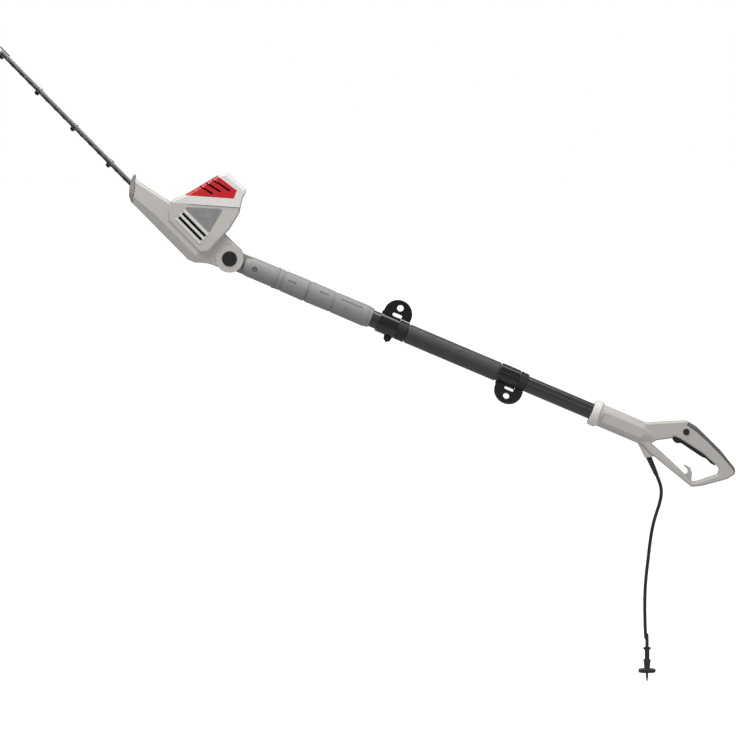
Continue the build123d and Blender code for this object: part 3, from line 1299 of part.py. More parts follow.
# ---- Pole: tubes, sleeve, telescope lock ----------------------------------------------------
with BuildPart() as outer_tube:
    with BuildSketch(across_pole(OUTER_TUBE_START)):
        Circle(OUTER_TUBE_RADIUS)
        Circle(OUTER_TUBE_RADIUS - OUTER_TUBE_WALL, mode=Mode.SUBTRACT)
    extrude(amount=OUTER_TUBE_END - OUTER_TUBE_START)
    with BuildSketch(pole_side):
        with Locations(TUBE_SCREW_AT):
            Circle(TUBE_SCREW_RADIUS + RUNNING_FIT)
    extrude(amount=THROUGH, mode=Mode.SUBTRACT)
outer_tube.part.label = "outer_tube"
export_step(outer_tube.part, "parts/outer_tube.step")

with BuildPart() as foam_sleeve:
    with BuildSketch(across_pole(SLEEVE_START)):
        Circle(SLEEVE_RADIUS)
        Circle(OUTER_TUBE_RADIUS + TUBE_FIT, mode=Mode.SUBTRACT)
    extrude(amount=SLEEVE_END - SLEEVE_START)
    rims = foam_sleeve.edges().filter_by(GeomType.CIRCLE).filter_by(
        lambda edge: abs(edge.radius - SLEEVE_RADIUS) < 0.01
    )
    fillet(rims, SLEEVE_ROUNDING)
foam_sleeve.part.label = "foam_sleeve"
export_step(foam_sleeve.part, "parts/foam_sleeve.step")

COLLAR_START = 418.0
COLLAR_END = 441.0
COLLAR_RADIUS = 23.2
COLLAR_ROUNDING = 1.2
RING_GROOVE = (2.0, 0.8)     # width and depth of the groove round collar and rear clamp

with BuildPart() as sleeve_collar:
    with BuildSketch(across_pole(COLLAR_START)):
        Circle(COLLAR_RADIUS)
        Circle(OUTER_TUBE_RADIUS + TUBE_FIT, mode=Mode.SUBTRACT)
    extrude(amount=COLLAR_END - COLLAR_START)
    rims = sleeve_collar.edges().filter_by(GeomType.CIRCLE).filter_by(
        lambda edge: abs(edge.radius - COLLAR_RADIUS) < 0.01
    )
    fillet(rims, COLLAR_ROUNDING)
    with BuildSketch(across_pole((COLLAR_START + COLLAR_END - RING_GROOVE[0]) / 2)):
        Circle(COLLAR_RADIUS + RING_GROOVE[1])
        Circle(COLLAR_RADIUS - RING_GROOVE[1], mode=Mode.SUBTRACT)
    extrude(amount=RING_GROOVE[0], mode=Mode.SUBTRACT)
sleeve_collar.part.label = "sleeve_collar"
export_step(sleeve_collar.part, "parts/sleeve_collar.step")

COLLET_START = OUTER_TUBE_END + 0.2
COLLET_END = NUT_END - 2.4
COLLET_SLOTS = 6
COLLET_SLOT_WIDTH = 1.2
COLLET_RIM = 3.0             # the slots stop this far from the tube
COLLET_RADII = (20.9, 19.8)

with BuildPart() as telescope_collet:
    with BuildSketch(pole_side):
        Polygon(
            (COLLET_START, INNER_TUBE_RADIUS + TUBE_FIT), (COLLET_START, COLLET_RADII[0]),
            (COLLET_START + 2, COLLET_RADII[0]), (COLLET_END, COLLET_RADII[1]),
            (COLLET_END, INNER_TUBE_RADIUS + TUBE_FIT), align=None,
        )
    revolve(axis=Axis(tilt_axis, along))
    with BuildSketch(across_pole(COLLET_START + COLLET_RIM)):
        with PolarLocations(OUTER_TUBE_RADIUS, COLLET_SLOTS):
            Rectangle(8, COLLET_SLOT_WIDTH)
    extrude(amount=THROUGH, mode=Mode.SUBTRACT)
telescope_collet.part.label = "telescope_collet"
export_step(telescope_collet.part, "parts/telescope_collet.step")

NUT_RADIUS = 23.2
NUT_FLUTES = 20
NUT_FLUTE_RADIUS = 2.0
NUT_ROUNDING = 1.2
NUT_LIP = 2.0                # end of the nut that runs on the inner tube
NUT_SKIRT = 5.5              # part of the nut that turns on the outer tube
NUT_CONE = (21.2, 20.2)      # inner radii of the cone that presses the collet

with BuildPart() as telescope_nut:
    with BuildSketch(pole_side):
        with BuildLine():
            FilletPolyline(
                (NUT_START, OUTER_TUBE_RADIUS + RUNNING_FIT), (NUT_START, NUT_RADIUS),
                (NUT_END, NUT_RADIUS - 1.2), (NUT_END, INNER_TUBE_RADIUS + RUNNING_FIT),
                (NUT_END - NUT_LIP, INNER_TUBE_RADIUS + RUNNING_FIT),
                (NUT_END - NUT_LIP, NUT_CONE[1]), (NUT_START + NUT_SKIRT, NUT_CONE[0]),
                (NUT_START + NUT_SKIRT, OUTER_TUBE_RADIUS + RUNNING_FIT),
                radius=[0, NUT_ROUNDING, NUT_ROUNDING, 0, 0, 0, 0, 0], close=True,
            )
        make_face()
    revolve(axis=Axis(tilt_axis, along))
    with BuildSketch(across_pole(NUT_START)):
        with PolarLocations(NUT_RADIUS + 1.2, NUT_FLUTES):
            Circle(NUT_FLUTE_RADIUS)
    extrude(amount=THROUGH, mode=Mode.SUBTRACT)
telescope_nut.part.label = "telescope_nut"
export_step(telescope_nut.part, "parts/telescope_nut.step")

with BuildPart() as inner_tube:
    with BuildSketch(across_pole(INNER_TUBE_START)):
        Circle(INNER_TUBE_RADIUS)
        Circle(INNER_TUBE_RADIUS - INNER_TUBE_WALL, mode=Mode.SUBTRACT)
    extrude(amount=INNER_TUBE_END - INNER_TUBE_START)
inner_tube.part.label = "inner_tube"
export_step(inner_tube.part, "parts/inner_tube.step")

GLIDE_FLANGE = 6.0
GLIDE_PLUG = 16.0
GLIDE_BORE = 13.0

with BuildPart() as inner_tube_glide:
    with BuildSketch(across_pole(INNER_TUBE_START)):
        Circle(OUTER_TUBE_RADIUS - OUTER_TUBE_WALL - RUNNING_FIT)
        Circle(GLIDE_BORE, mode=Mode.SUBTRACT)
    extrude(amount=-GLIDE_FLANGE)
    with BuildSketch(across_pole(INNER_TUBE_START)):
        Circle(INNER_TUBE_RADIUS - INNER_TUBE_WALL)
        Circle(GLIDE_BORE, mode=Mode.SUBTRACT)
    extrude(amount=GLIDE_PLUG)
inner_tube_glide.part.label = "inner_tube_glide"
export_step(inner_tube_glide.part, "parts/inner_tube_glide.step")

# Coiled cable inside the inner tube, between the handle and the head.
COIL_START = 230.0
COIL_LENGTH = 600.0
COIL_TURNS = 24
COIL_RADIUS = 10.0
POLE_CABLE_RADIUS = 3.0

with BuildPart() as pole_cable:
    add(
        coiled_wire(
            tilt_axis + along * COIL_START, along, COIL_LENGTH,
            COIL_TURNS, COIL_RADIUS, POLE_CABLE_RADIUS,
        )
    )
pole_cable.part.label = "pole_cable"
export_step(pole_cable.part, "parts/pole_cable.step")

# ---- Shoulder-strap clamps ------------------------------------------------------------------
CLAMP_RADIUS = 23.5
PLATE_CENTRE = 35.0          # middle of the eye plate, from the start of its band
PLATE_ROUND_AT = 32.0        # centre of its rounded top, above the pole axis
SLOT_ABOVE = 27.6
STRAP_SLOT = (23.0, 8.0)
CLAMP_SLIT = 2.0
LUG_PLATE = 4.0
LUG_SCREW_AT = (FRONT_CLAMP_START + 33.5, -28.0)
LUG_SCREW_HEAD = 4.4
LUG_SCREW_HEAD_HEIGHT = 3.0
LUG_SCREW_SOCKET = 2.3
LUG_SCREW_END = 5.0
LUG_NUT_RADIUS = 4.6
LUG_NUT_HEIGHT = 4.0
LUG_OUTLINE = [(23, -17), (44, -17), (42, -32), (34, -38), (26, -32)]
CLAMP_SCREW_RADIUS = 2.5
CLEAR_OF_NEIGHBOUR = 24.3    # the plate's overhang stays outside this radius
PLATE_FOOT = [(0, 10), (0, 26), (2, 30), (CLAMP_WIDTH, 30), (CLAMP_WIDTH, 10)]


def turned_side(turn):
    """The pole's side view, turned about the pole from the position with the eye on top."""
    up = above * cos(radians(turn)) - Vector(0, 1, 0) * sin(radians(turn))
    return Plane(origin=tilt_axis, x_dir=along, z_dir=along.cross(up))


def strap_clamp(start, turn):
    """Band with an eye plate; turn is its angle round the pole, zero with the eye on top."""
    side_view = turned_side(turn)
    with BuildPart() as clamp:
        with BuildSketch(side_view):
            with Locations((start + PLATE_CENTRE, PLATE_ROUND_AT)):
                Circle(STRAP_PLATE_RADIUS)
            with Locations((start + PLATE_CENTRE, PLATE_ROUND_AT / 2)):
                Rectangle(2 * STRAP_PLATE_RADIUS, PLATE_ROUND_AT, mode=Mode.ADD)
            with Locations((start + PLATE_CENTRE, -CLEAR_OF_NEIGHBOUR)):
                Rectangle(3 * STRAP_PLATE_RADIUS, 4 * CLEAR_OF_NEIGHBOUR, mode=Mode.SUBTRACT)
            Polygon(*[(start + x, y) for x, y in PLATE_FOOT], align=None)
            with Locations((start + PLATE_CENTRE, EYE_ABOVE)):
                Circle(STRAP_EYE_RADIUS, mode=Mode.SUBTRACT)
            with Locations((start + PLATE_CENTRE, SLOT_ABOVE + 1)):
                SlotOverall(*STRAP_SLOT, mode=Mode.SUBTRACT)
        extrude(amount=STRAP_PLATE / 2, both=True)
        with BuildSketch(across_pole(start)):
            Circle(CLAMP_RADIUS)
        extrude(amount=CLAMP_WIDTH)
    return clamp


with BuildPart() as front_strap_clamp:
    add(strap_clamp(FRONT_CLAMP_START, 0).part)
    # pinch lugs under the pole
    with BuildSketch(pole_side):
        Polygon(*[(FRONT_CLAMP_START + x, y) for x, y in LUG_OUTLINE], align=None)
    extrude(amount=CLAMP_SLIT / 2 + LUG_PLATE, both=True)
    with BuildSketch(across_pole(FRONT_CLAMP_START)):
        Circle(OUTER_TUBE_RADIUS + RUNNING_FIT)
        with Locations((0, -THROUGH / 2)):
            Rectangle(CLAMP_SLIT, THROUGH)
    extrude(amount=CLAMP_WIDTH, mode=Mode.SUBTRACT)
    with BuildSketch(pole_side):
        with Locations(LUG_SCREW_AT):
            Circle(CLAMP_SCREW_RADIUS + RUNNING_FIT)
    extrude(amount=THROUGH, both=True, mode=Mode.SUBTRACT)
front_strap_clamp.part.label = "front_strap_clamp"
export_step(front_strap_clamp.part, "parts/front_strap_clamp.step")

with BuildPart() as front_clamp_screw:
    lug_face = CLAMP_SLIT / 2 + LUG_PLATE
    with BuildSketch(pole_side.offset(lug_face)):
        with Locations(LUG_SCREW_AT):
            Circle(LUG_SCREW_HEAD)
    extrude(amount=LUG_SCREW_HEAD_HEIGHT)
    with BuildSketch(pole_side.offset(lug_face + LUG_SCREW_HEAD_HEIGHT)):
        with Locations(LUG_SCREW_AT):
            RegularPolygon(LUG_SCREW_SOCKET, 6)
    extrude(amount=-0.7 * LUG_SCREW_HEAD_HEIGHT, mode=Mode.SUBTRACT)
    with BuildSketch(pole_side.offset(lug_face)):
        with Locations(LUG_SCREW_AT):
            Circle(CLAMP_SCREW_RADIUS)
    extrude(amount=-2 * lug_face - LUG_SCREW_END)
    # its nut, a separate solid
    with BuildSketch(pole_side.offset(-lug_face)):
        with Locations(LUG_SCREW_AT):
            RegularPolygon(LUG_NUT_RADIUS, 6)
            Circle(CLAMP_SCREW_RADIUS + RUNNING_FIT, mode=Mode.SUBTRACT)
    extrude(amount=-LUG_NUT_HEIGHT)
front_clamp_screw.part.label = "front_clamp_screw"
export_step(front_clamp_screw.part, "parts/front_clamp_screw.step")

REAR_SCREW_PLACES = (7.0, 40.0)
REAR_SCREW_TURN = 35.0       # the set screws stand beside the foot of the plate
SET_SCREW_LENGTH = 4.2
SET_SCREW_SOCKET = 1.5

with BuildPart() as rear_strap_clamp:
    add(strap_clamp(REAR_CLAMP_START, REAR_CLAMP_TURN).part)
    with BuildSketch(across_pole(REAR_CLAMP_START)):
        Circle(OUTER_TUBE_RADIUS + RUNNING_FIT)
    extrude(amount=CLAMP_WIDTH, mode=Mode.SUBTRACT)
    with BuildSketch(across_pole(REAR_CLAMP_START + (CLAMP_WIDTH - RING_GROOVE[0]) / 2)):
        Circle(CLAMP_RADIUS + RING_GROOVE[1])
        Circle(CLAMP_RADIUS - RING_GROOVE[1], mode=Mode.SUBTRACT)
    extrude(amount=RING_GROOVE[0], mode=Mode.SUBTRACT)
    screw_top = turned_side(REAR_CLAMP_TURN - REAR_SCREW_TURN - 90)
    with BuildSketch(screw_top.offset(OUTER_TUBE_RADIUS)):
        for place in REAR_SCREW_PLACES:
            with Locations((REAR_CLAMP_START + place, 0)):
                Circle(CLAMP_SCREW_RADIUS + RUNNING_FIT)
    extrude(amount=CLAMP_RADIUS - OUTER_TUBE_RADIUS + 1, mode=Mode.SUBTRACT)
rear_strap_clamp.part.label = "rear_strap_clamp"
export_step(rear_strap_clamp.part, "parts/rear_strap_clamp.step")

with BuildPart() as rear_clamp_screws:
    with BuildSketch(screw_top.offset(OUTER_TUBE_RADIUS + RUNNING_FIT)):
        for place in REAR_SCREW_PLACES:
            with Locations((REAR_CLAMP_START + place, 0)):
                Circle(CLAMP_SCREW_RADIUS)
    extrude(amount=SET_SCREW_LENGTH)
    with BuildSketch(screw_top.offset(OUTER_TUBE_RADIUS + RUNNING_FIT + SET_SCREW_LENGTH)):
        for place in REAR_SCREW_PLACES:
            with Locations((REAR_CLAMP_START + place, 0)):
                RegularPolygon(SET_SCREW_SOCKET, 6)
    extrude(amount=-SET_SCREW_LENGTH / 2, mode=Mode.SUBTRACT)
rear_clamp_screws.part.label = "rear_clamp_screws"
export_step(rear_clamp_screws.part, "parts/rear_clamp_screws.step")

# ---- Handle ---------------------------------------------------------------------------------
BARREL_START = 925.0
BARREL_END = 1028.0
LOOP_OUTLINE = [
    (990, 24, 0),
    (1026, 24, 12),          # root of the upper arm
    (1112, 66, 8),           # highest point
    (1140, 62.5, 30),
    (1212, 34, 60),
    (1258, 9, 8),
    (1265, -2, 6),           # rearmost point
    (1252, -21, 10),
    (1205, -58, 12),
    (1183, -70, 8),          # lower corner
    (1146, -59, 40),
    (1066, -36, 20),
    (1040, -24, 8),
    (990, -24, 0),
]
OPENING_OUTLINE = [
    (1058, -14, 2),
    (1067, -2, 4),
    (1097, 15, 3),
    (1101, 22.5, 2),
    (1116, 22.5, 6),
    (1176, 12, 30),
    (1214, -1, 4),
    (1226, -7, 5),
    (1229, -19, 8),
    (1188, -55, 9),
    (1178, -58, 5),
    (1146, -44, 30),
    (1082, -21, 6),
]
SOFT_ZONE = [
    (1117, 80), (1117, 57.5), (1143, 52), (1178, 40), (1219, 23), (1252, 6), (1272, -6), (1290, 60),
]
CABLE_BOSS_OUTLINE = [(1022, -18, 0), (1058, -50, 3), (1073, -41, 2), (1088, -28, 0), (1060, -14, 0)]
CABLE_BOSS_HALF_WIDTH = 11.0
CORD_HOOK = [
    (1178, -58, 0), (1173, -40, 3), (1164, -30.5, 3), (1149, -28.5, 1.5), (1149, -32.5, 1.5),
    (1158, -35.5, 3), (1163.5, -42, 3), (1158, -52, 0),
]
CORD_HOOK_HALF_WIDTH = 5.0
HANDLE_BOSSES = [(1040, 8), (1092, 44), (1236, 4), (1190, -60), (1085, -32), (1170, 35.5)]
LOOP_ROUNDING = 5.0
HANDLE_BOSS_RADIUS = 3.9
HANDLE_HEAD_HEIGHT = 2.4
HANDLE_SCREW_RADIUS = 1.6
HANDLE_SCREW_HEAD = 2.9
HANDLE_SCREW_SEAT = 8.0
HANDLE_SCREW_BITE = 10.0
TRIGGER_SLOT = [(1094, 10), (1094, 34), (1217, 13), (1217, -8)]
TRIGGER_HALF_WIDTH = 7.5
TRIGGER_PIVOT = (1206, 8)
TRIGGER_PIN_RADIUS = 2.0
LOCK_OFF_AT = (1122, 42.5)
LOCK_OFF_RADIUS = 7.2
LOCK_OFF_STEM = 4.5
SWITCH_BOX = (1138, 1164, 29, 47)
SWITCH_HALF_WIDTH = 14.0
SWITCH_PLUNGER = (5.0, 5.6, 3.0)   # length, height and half width; the trigger just reaches it

SPRING_SEAT = (1176, 28.5)
SPRING_SEAT_SIZE = (13.0, 3.0)
BARREL_FLAT = 23.6
BARREL_TAPER = (50.0, 12.0)  # length of the taper behind the barrel, and its end radius
TUBE_BORE = INNER_TUBE_RADIUS - 4
BARREL_PANEL = [(930, 9, 3), (1026, 17, 3), (1034, 10, 3), (1034, -14, 3), (1026, -18, 3), (930, -16, 3)]
TRIGGER_PIN_LENGTH = 28.0
TRIGGER_OUTLINE = [
    (1098, 25, 1), (1098, 16, 2), (1104, 11, 4), (1112, 9, 5), (1122, 13.5, 8), (1150, 8, 0),
    (1176, 3, 0), (1189, 3, 6), (1203, -3, 6), (1214, -4, 1.5), (1214, 8, 4), (1204, 14, 3),
]
TRIGGER_ROUNDING = 1.6
TRIGGER_SPRING_WIRE = 0.5
TRIGGER_SPRING_RADIUS = 3.2
TRIGGER_SPRING_FOOT = 17.8
TRIGGER_SPRING_LENGTH = 8.5
TRIGGER_SPRING_TURNS = 3
LOCK_OFF_FLANGE = 11.0
LOCK_OFF_REACH = 19.5
LOCK_OFF_RIM = 1.6
LOCK_OFF_RIM_THICKNESS = 1.5
LOCK_OFF_ROUNDING = 1.2
COLLAR_FLANGE_RADIUS = 31.0
CORD_RADIUS = 4.0
CORD_INSIDE = 4.0            # the cord reaches this far past the boot into the handle
BOOT_AT = (1066, -45)        # where the boot leaves the handle
BOOT_SLOPE = 43.18           # the boot points down and back, degrees from the pole
BOOT_RADIUS = 7.0
BOOT_COLLAR = 3.0
BOOT_CORE = 1.0              # the core between the ribs is this much thinner
BOOT_TIP_RADIUS = 5.4
BOOT_LENGTH = 43.0
BOOT_RIBS = 8
BOOT_SOCKET = 12.0
# where the hanging cord passes, from the tilt axis
CORD_POINTS = [(993, -536), (979, -598), (963, -697), (956, -793), (960, -876)]
PLUG_AT = (961.6, -957)
PLUG_LENGTH = 60.0
PLUG_NECK_RADIUS = 5.6
PLUG_NECK_LENGTH = 30.0
PLUG_CORD_DEPTH = 12.0
PLUG_FLANGE = 8.0
PLUG_FLANGE_RADIUS = 20.0
PLUG_FLANGE_WIDTH = 37.0
PLUG_NOTCH_RADIUS = 2.5
PLUG_WAIST = (17.0, 22.0, 5.0)     # thickness, width and corner radius at the neck
PLUG_FOOT = (12.0, 30.0, 4.0)      # the same at the flange
PLUG_BAR = (18.0, 7.0, 5.0)        # grip bar near the cord: length, height and thickness
PLUG_BAR_FROM = 2.0
PIN_RADIUS = 2.4
PIN_LENGTH = 19.0
PIN_TIP_ROUNDING = 1.6
PIN_ROOT_RADIUS = 2.0        # the part of each pin moulded into the plug
PIN_SPACING = 19.0
PIN_SEAT = 6.0
plug_plane = Plane(
    origin=tilt_axis + Vector(PLUG_AT[0], 0, PLUG_AT[1]), x_dir=(1, 0, 0), z_dir=(0, 0, -1)
)
plug_top = plug_plane.offset(-PLUG_LENGTH + PLUG_CORD_DEPTH).origin


def loop_solid(half_width, inset=0.0, rim_radius=0.0):
    """The D-shaped loop of the handle, or its hollow when it is set in by the wall."""
    with BuildPart() as loop:
        with BuildSketch(pole_side):
            with BuildLine():
                rounded_outline(LOOP_OUTLINE)
            make_face()
            if inset:
                offset(amount=-inset, kind=Kind.INTERSECTION)
        extrude(amount=half_width - inset, both=True)
        with BuildSketch(pole_side):
            with BuildLine():
                rounded_outline(OPENING_OUTLINE)
            make_face()
            if inset:
                offset(amount=inset, kind=Kind.INTERSECTION)
        extrude(amount=HEAD_HALF_WIDTH, both=True, mode=Mode.SUBTRACT)
        if rim_radius:
            fillet(rim_edges(loop.part), rim_radius)
    return loop.part


def barrel_solid(inset=0.0):
    """The round barrel that takes the end of the inner tube, tapering into the loop."""
    radius = BARREL_RADIUS - inset
    with BuildPart() as barrel:
        with BuildSketch(pole_side):
            Polygon(
                (BARREL_START + 2 * inset, 0), (BARREL_START + 2 * inset, radius),
                (BARREL_END, radius), (BARREL_END + BARREL_TAPER[0], BARREL_TAPER[1] - inset),
                (BARREL_END + BARREL_TAPER[0], 0), align=None,
            )
        revolve(axis=Axis(tilt_axis, along))
    return barrel.part


loop_body = loop_solid(HANDLE_HALF_WIDTH, rim_radius=LOOP_ROUNDING)
loop_room = loop_solid(HANDLE_HALF_WIDTH, inset=WALL)
barrel_body = barrel_solid()
barrel_room = barrel_solid(inset=WALL)

boot_start = tilt_axis + along * BOOT_AT[0] + above * BOOT_AT[1]
boot_dir = along * cos(radians(BOOT_SLOPE)) - above * sin(radians(BOOT_SLOPE))
boot_plane = Plane(origin=boot_start, x_dir=(0, 1, 0), z_dir=boot_dir)

with BuildPart() as handle_form:
    add(loop_body)
    with BuildSketch(pole_side):
        with BuildLine():
            rounded_outline(CABLE_BOSS_OUTLINE)
        make_face()
    extrude(amount=CABLE_BOSS_HALF_WIDTH, both=True)
    with BuildSketch(pole_side):
        with BuildLine():
            rounded_outline(CORD_HOOK)
        make_face()
    extrude(amount=CORD_HOOK_HALF_WIDTH, both=True)
    add(barrel_body)
    # the taper of the barrel stops short of the opening
    with BuildSketch(pole_side):
        with BuildLine():
            rounded_outline(OPENING_OUTLINE[:5] + [(1116, -30, 0), (1082, -21, 6)])
        make_face()
    extrude(amount=HEAD_HALF_WIDTH, both=True, mode=Mode.SUBTRACT)
    add(loop_room, mode=Mode.SUBTRACT)
    add(barrel_room, mode=Mode.SUBTRACT)
    # posts for the screws and the trigger pin, and the seat of the trigger spring
    with BuildSketch(pole_side):
        with Locations(*HANDLE_BOSSES, TRIGGER_PIVOT):
            Circle(HANDLE_BOSS_RADIUS)
        with Locations(SPRING_SEAT):
            Rectangle(*SPRING_SEAT_SIZE)
    extrude(amount=HANDLE_HALF_WIDTH - 1, both=True)
    # the ring that grips the tube
    with BuildSketch(across_pole(BARREL_START)):
        Circle(BARREL_RADIUS - 1)
    extrude(amount=INNER_TUBE_END + 4 - BARREL_START)
    with BuildSketch(across_pole(BARREL_START)):
        Circle(INNER_TUBE_RADIUS + TUBE_FIT)
    extrude(amount=INNER_TUBE_END + 0.2 - BARREL_START, mode=Mode.SUBTRACT)
    with BuildSketch(across_pole(BARREL_START)):
        Circle(TUBE_BORE)
    extrude(amount=BARREL_END - BARREL_START - 23, mode=Mode.SUBTRACT)
    # flats on both sides of the barrel
    for side in (-1, 1):
        with BuildSketch(pole_side.offset(side * BARREL_FLAT)):
            with BuildLine():
                rounded_outline(BARREL_PANEL)
            make_face()
        extrude(amount=side * (BARREL_RADIUS - BARREL_FLAT + 1), mode=Mode.SUBTRACT)
    # way in for the cord and its boot
    with BuildSketch(boot_plane.offset(-BOOT_SOCKET)):
        Circle(BOOT_RADIUS + TUBE_FIT)
    extrude(amount=BOOT_LENGTH, mode=Mode.SUBTRACT)
    with BuildSketch(boot_plane.offset(-3 * BOOT_SOCKET)):
        Circle(CORD_RADIUS + LOOSE_FIT)
    extrude(amount=BOOT_LENGTH, mode=Mode.SUBTRACT)
    # lock-off button and trigger
    with BuildSketch(pole_side):
        with Locations(LOCK_OFF_AT):
            Circle(LOCK_OFF_RADIUS + LOOSE_FIT)
    extrude(amount=HEAD_HALF_WIDTH, both=True, mode=Mode.SUBTRACT)
    with BuildSketch(pole_side):
        Polygon(*TRIGGER_SLOT, align=None)
    extrude(amount=TRIGGER_HALF_WIDTH + 2 * LOOSE_FIT, both=True, mode=Mode.SUBTRACT)
    with BuildSketch(pole_side):
        with Locations(TRIGGER_PIVOT):
            Circle(TRIGGER_PIN_RADIUS + RUNNING_FIT)
    extrude(amount=TRIGGER_PIN_LENGTH / 2 + RUNNING_FIT, both=True, mode=Mode.SUBTRACT)


def handle_shell(side):
    """One half of the handle; side is -1 for the left half and 1 for the right half."""
    face = Plane.XZ if side < 0 else -Plane.XZ
    with BuildPart() as shell:
        add(handle_form.part)
        with BuildSketch(pole_side):
            Polygon(*SOFT_ZONE, align=None)
        extrude(amount=HEAD_HALF_WIDTH, both=True, mode=Mode.SUBTRACT)
        split(bisect_by=face, keep=Keep.TOP)
        with BuildSketch(pole_side):
            with Locations(*HANDLE_BOSSES):
                Circle(HANDLE_SCREW_RADIUS + RUNNING_FIT)
        if side < 0:
            extrude(amount=HANDLE_SCREW_BITE, mode=Mode.SUBTRACT)
        else:
            extrude(amount=-HEAD_HALF_WIDTH, mode=Mode.SUBTRACT)
            with BuildSketch(pole_side.offset(-HANDLE_SCREW_SEAT)):
                with Locations(*HANDLE_BOSSES):
                    Circle(HANDLE_SCREW_HEAD + LOOSE_FIT)
            extrude(amount=-HEAD_HALF_WIDTH, mode=Mode.SUBTRACT)
    return shell


handle_shell_left = handle_shell(-1)
handle_shell_left.part.label = "handle_shell_left"
export_step(handle_shell_left.part, "parts/handle_shell_left.step")

handle_shell_right = handle_shell(1)
handle_shell_right.part.label = "handle_shell_right"
export_step(handle_shell_right.part, "parts/handle_shell_right.step")

with BuildPart() as handle_soft_grip:
    add(handle_form.part)
    with BuildSketch(pole_side):
        Polygon(*SOFT_ZONE, align=None)
    extrude(amount=HEAD_HALF_WIDTH, both=True, mode=Mode.INTERSECT)
handle_soft_grip.part.label = "handle_soft_grip"
export_step(handle_soft_grip.part, "parts/handle_soft_grip.step")

with BuildPart() as handle_screws:
    with BuildSketch(pole_side.offset(HANDLE_SCREW_BITE - SCREW_TIP_GAP / 2)):
        with Locations(*HANDLE_BOSSES):
            Circle(HANDLE_SCREW_RADIUS)
    extrude(amount=-HANDLE_SCREW_BITE + SCREW_TIP_GAP / 2 - HANDLE_SCREW_SEAT)
    with BuildSketch(pole_side.offset(-HANDLE_SCREW_SEAT)):
        with Locations(*HANDLE_BOSSES):
            Circle(HANDLE_SCREW_HEAD)
    extrude(amount=-HANDLE_HEAD_HEIGHT)
    with BuildSketch(pole_side.offset(-HANDLE_SCREW_SEAT - HANDLE_HEAD_HEIGHT)):
        with Locations(*HANDLE_BOSSES):
            cross_recess(3.6, 0.9)
    extrude(amount=0.6 * HANDLE_HEAD_HEIGHT, mode=Mode.SUBTRACT)
handle_screws.part.label = "handle_screws"
export_step(handle_screws.part, "parts/handle_screws.step")

with BuildPart() as handle_collar:
    with BuildSketch(pole_side):
        with BuildLine():
            FilletPolyline(
                (HANDLE_FACE, INNER_TUBE_RADIUS + TUBE_FIT), (HANDLE_FACE, COLLAR_FLANGE_RADIUS - 1),
                (BARREL_START - 5, COLLAR_FLANGE_RADIUS), (BARREL_START, BARREL_RADIUS + 1.5),
                (BARREL_START, INNER_TUBE_RADIUS + TUBE_FIT),
                radius=[0.8, 3, 2.5, 1, 0], close=True,
            )
        make_face()
    revolve(axis=Axis(tilt_axis, along))
handle_collar.part.label = "handle_collar"
export_step(handle_collar.part, "parts/handle_collar.step")

# ---- Trigger, switch, lock-off --------------------------------------------------------------
with BuildPart() as trigger:
    with BuildSketch(pole_side):
        with BuildLine():
            rounded_outline(TRIGGER_OUTLINE)
        make_face()
    extrude(amount=TRIGGER_HALF_WIDTH, both=True)
    fillet(rim_edges(trigger.part), TRIGGER_ROUNDING)
    with BuildSketch(pole_side):
        with Locations(TRIGGER_PIVOT):
            Circle(TRIGGER_PIN_RADIUS + RUNNING_FIT)
    extrude(amount=HEAD_HALF_WIDTH, both=True, mode=Mode.SUBTRACT)
trigger.part.label = "trigger"
export_step(trigger.part, "parts/trigger.step")

with BuildPart() as trigger_pin:
    with BuildSketch(pole_side):
        with Locations(TRIGGER_PIVOT):
            Circle(TRIGGER_PIN_RADIUS)
    extrude(amount=TRIGGER_PIN_LENGTH / 2, both=True)
trigger_pin.part.label = "trigger_pin"
export_step(trigger_pin.part, "parts/trigger_pin.step")

with BuildPart() as trigger_spring:
    add(
        coiled_wire(
            tilt_axis + along * SPRING_SEAT[0] + above * TRIGGER_SPRING_FOOT, above,
            TRIGGER_SPRING_LENGTH, TRIGGER_SPRING_TURNS, TRIGGER_SPRING_RADIUS, TRIGGER_SPRING_WIRE,
        )
    )
trigger_spring.part.label = "trigger_spring"
export_step(trigger_spring.part, "parts/trigger_spring.step")

with BuildPart() as switch_body:
    start, end, low, high = SWITCH_BOX
    with BuildSketch(pole_side):
        with Locations(((start + end) / 2, (low + high) / 2)):
            RectangleRounded(end - start, high - low, 1.0)
    extrude(amount=SWITCH_HALF_WIDTH, both=True)
    with BuildSketch(pole_side):
        with Locations(((start + end) / 2, low)):
            Rectangle(SWITCH_PLUNGER[0], SWITCH_PLUNGER[1])
    extrude(amount=SWITCH_PLUNGER[2], both=True)
switch_body.part.label = "switch_body"
export_step(switch_body.part, "parts/switch_body.step")

with BuildPart() as lock_off_button:
    with BuildSketch(pole_side):
        with Locations(LOCK_OFF_AT):
            Circle(LOCK_OFF_STEM)
    extrude(amount=LOCK_OFF_FLANGE, both=True)
    for side in (-1, 1):
        with BuildSketch(pole_side.offset(side * (LOCK_OFF_FLANGE - LOCK_OFF_RIM_THICKNESS))):
            with Locations(LOCK_OFF_AT):
                Circle(LOCK_OFF_RADIUS + LOCK_OFF_RIM)
        extrude(amount=side * LOCK_OFF_RIM_THICKNESS)
        with BuildSketch(pole_side.offset(side * LOCK_OFF_FLANGE)):
            with Locations(LOCK_OFF_AT):
                Circle(LOCK_OFF_RADIUS)
        extrude(amount=side * (LOCK_OFF_REACH - LOCK_OFF_FLANGE))
    fillet(lock_off_button.faces().sort_by(Axis.Y)[0].edges(), LOCK_OFF_ROUNDING)
    fillet(lock_off_button.faces().sort_by(Axis.Y)[-1].edges(), LOCK_OFF_ROUNDING)
lock_off_button.part.label = "lock_off_button"
export_step(lock_off_button.part, "parts/lock_off_button.step")

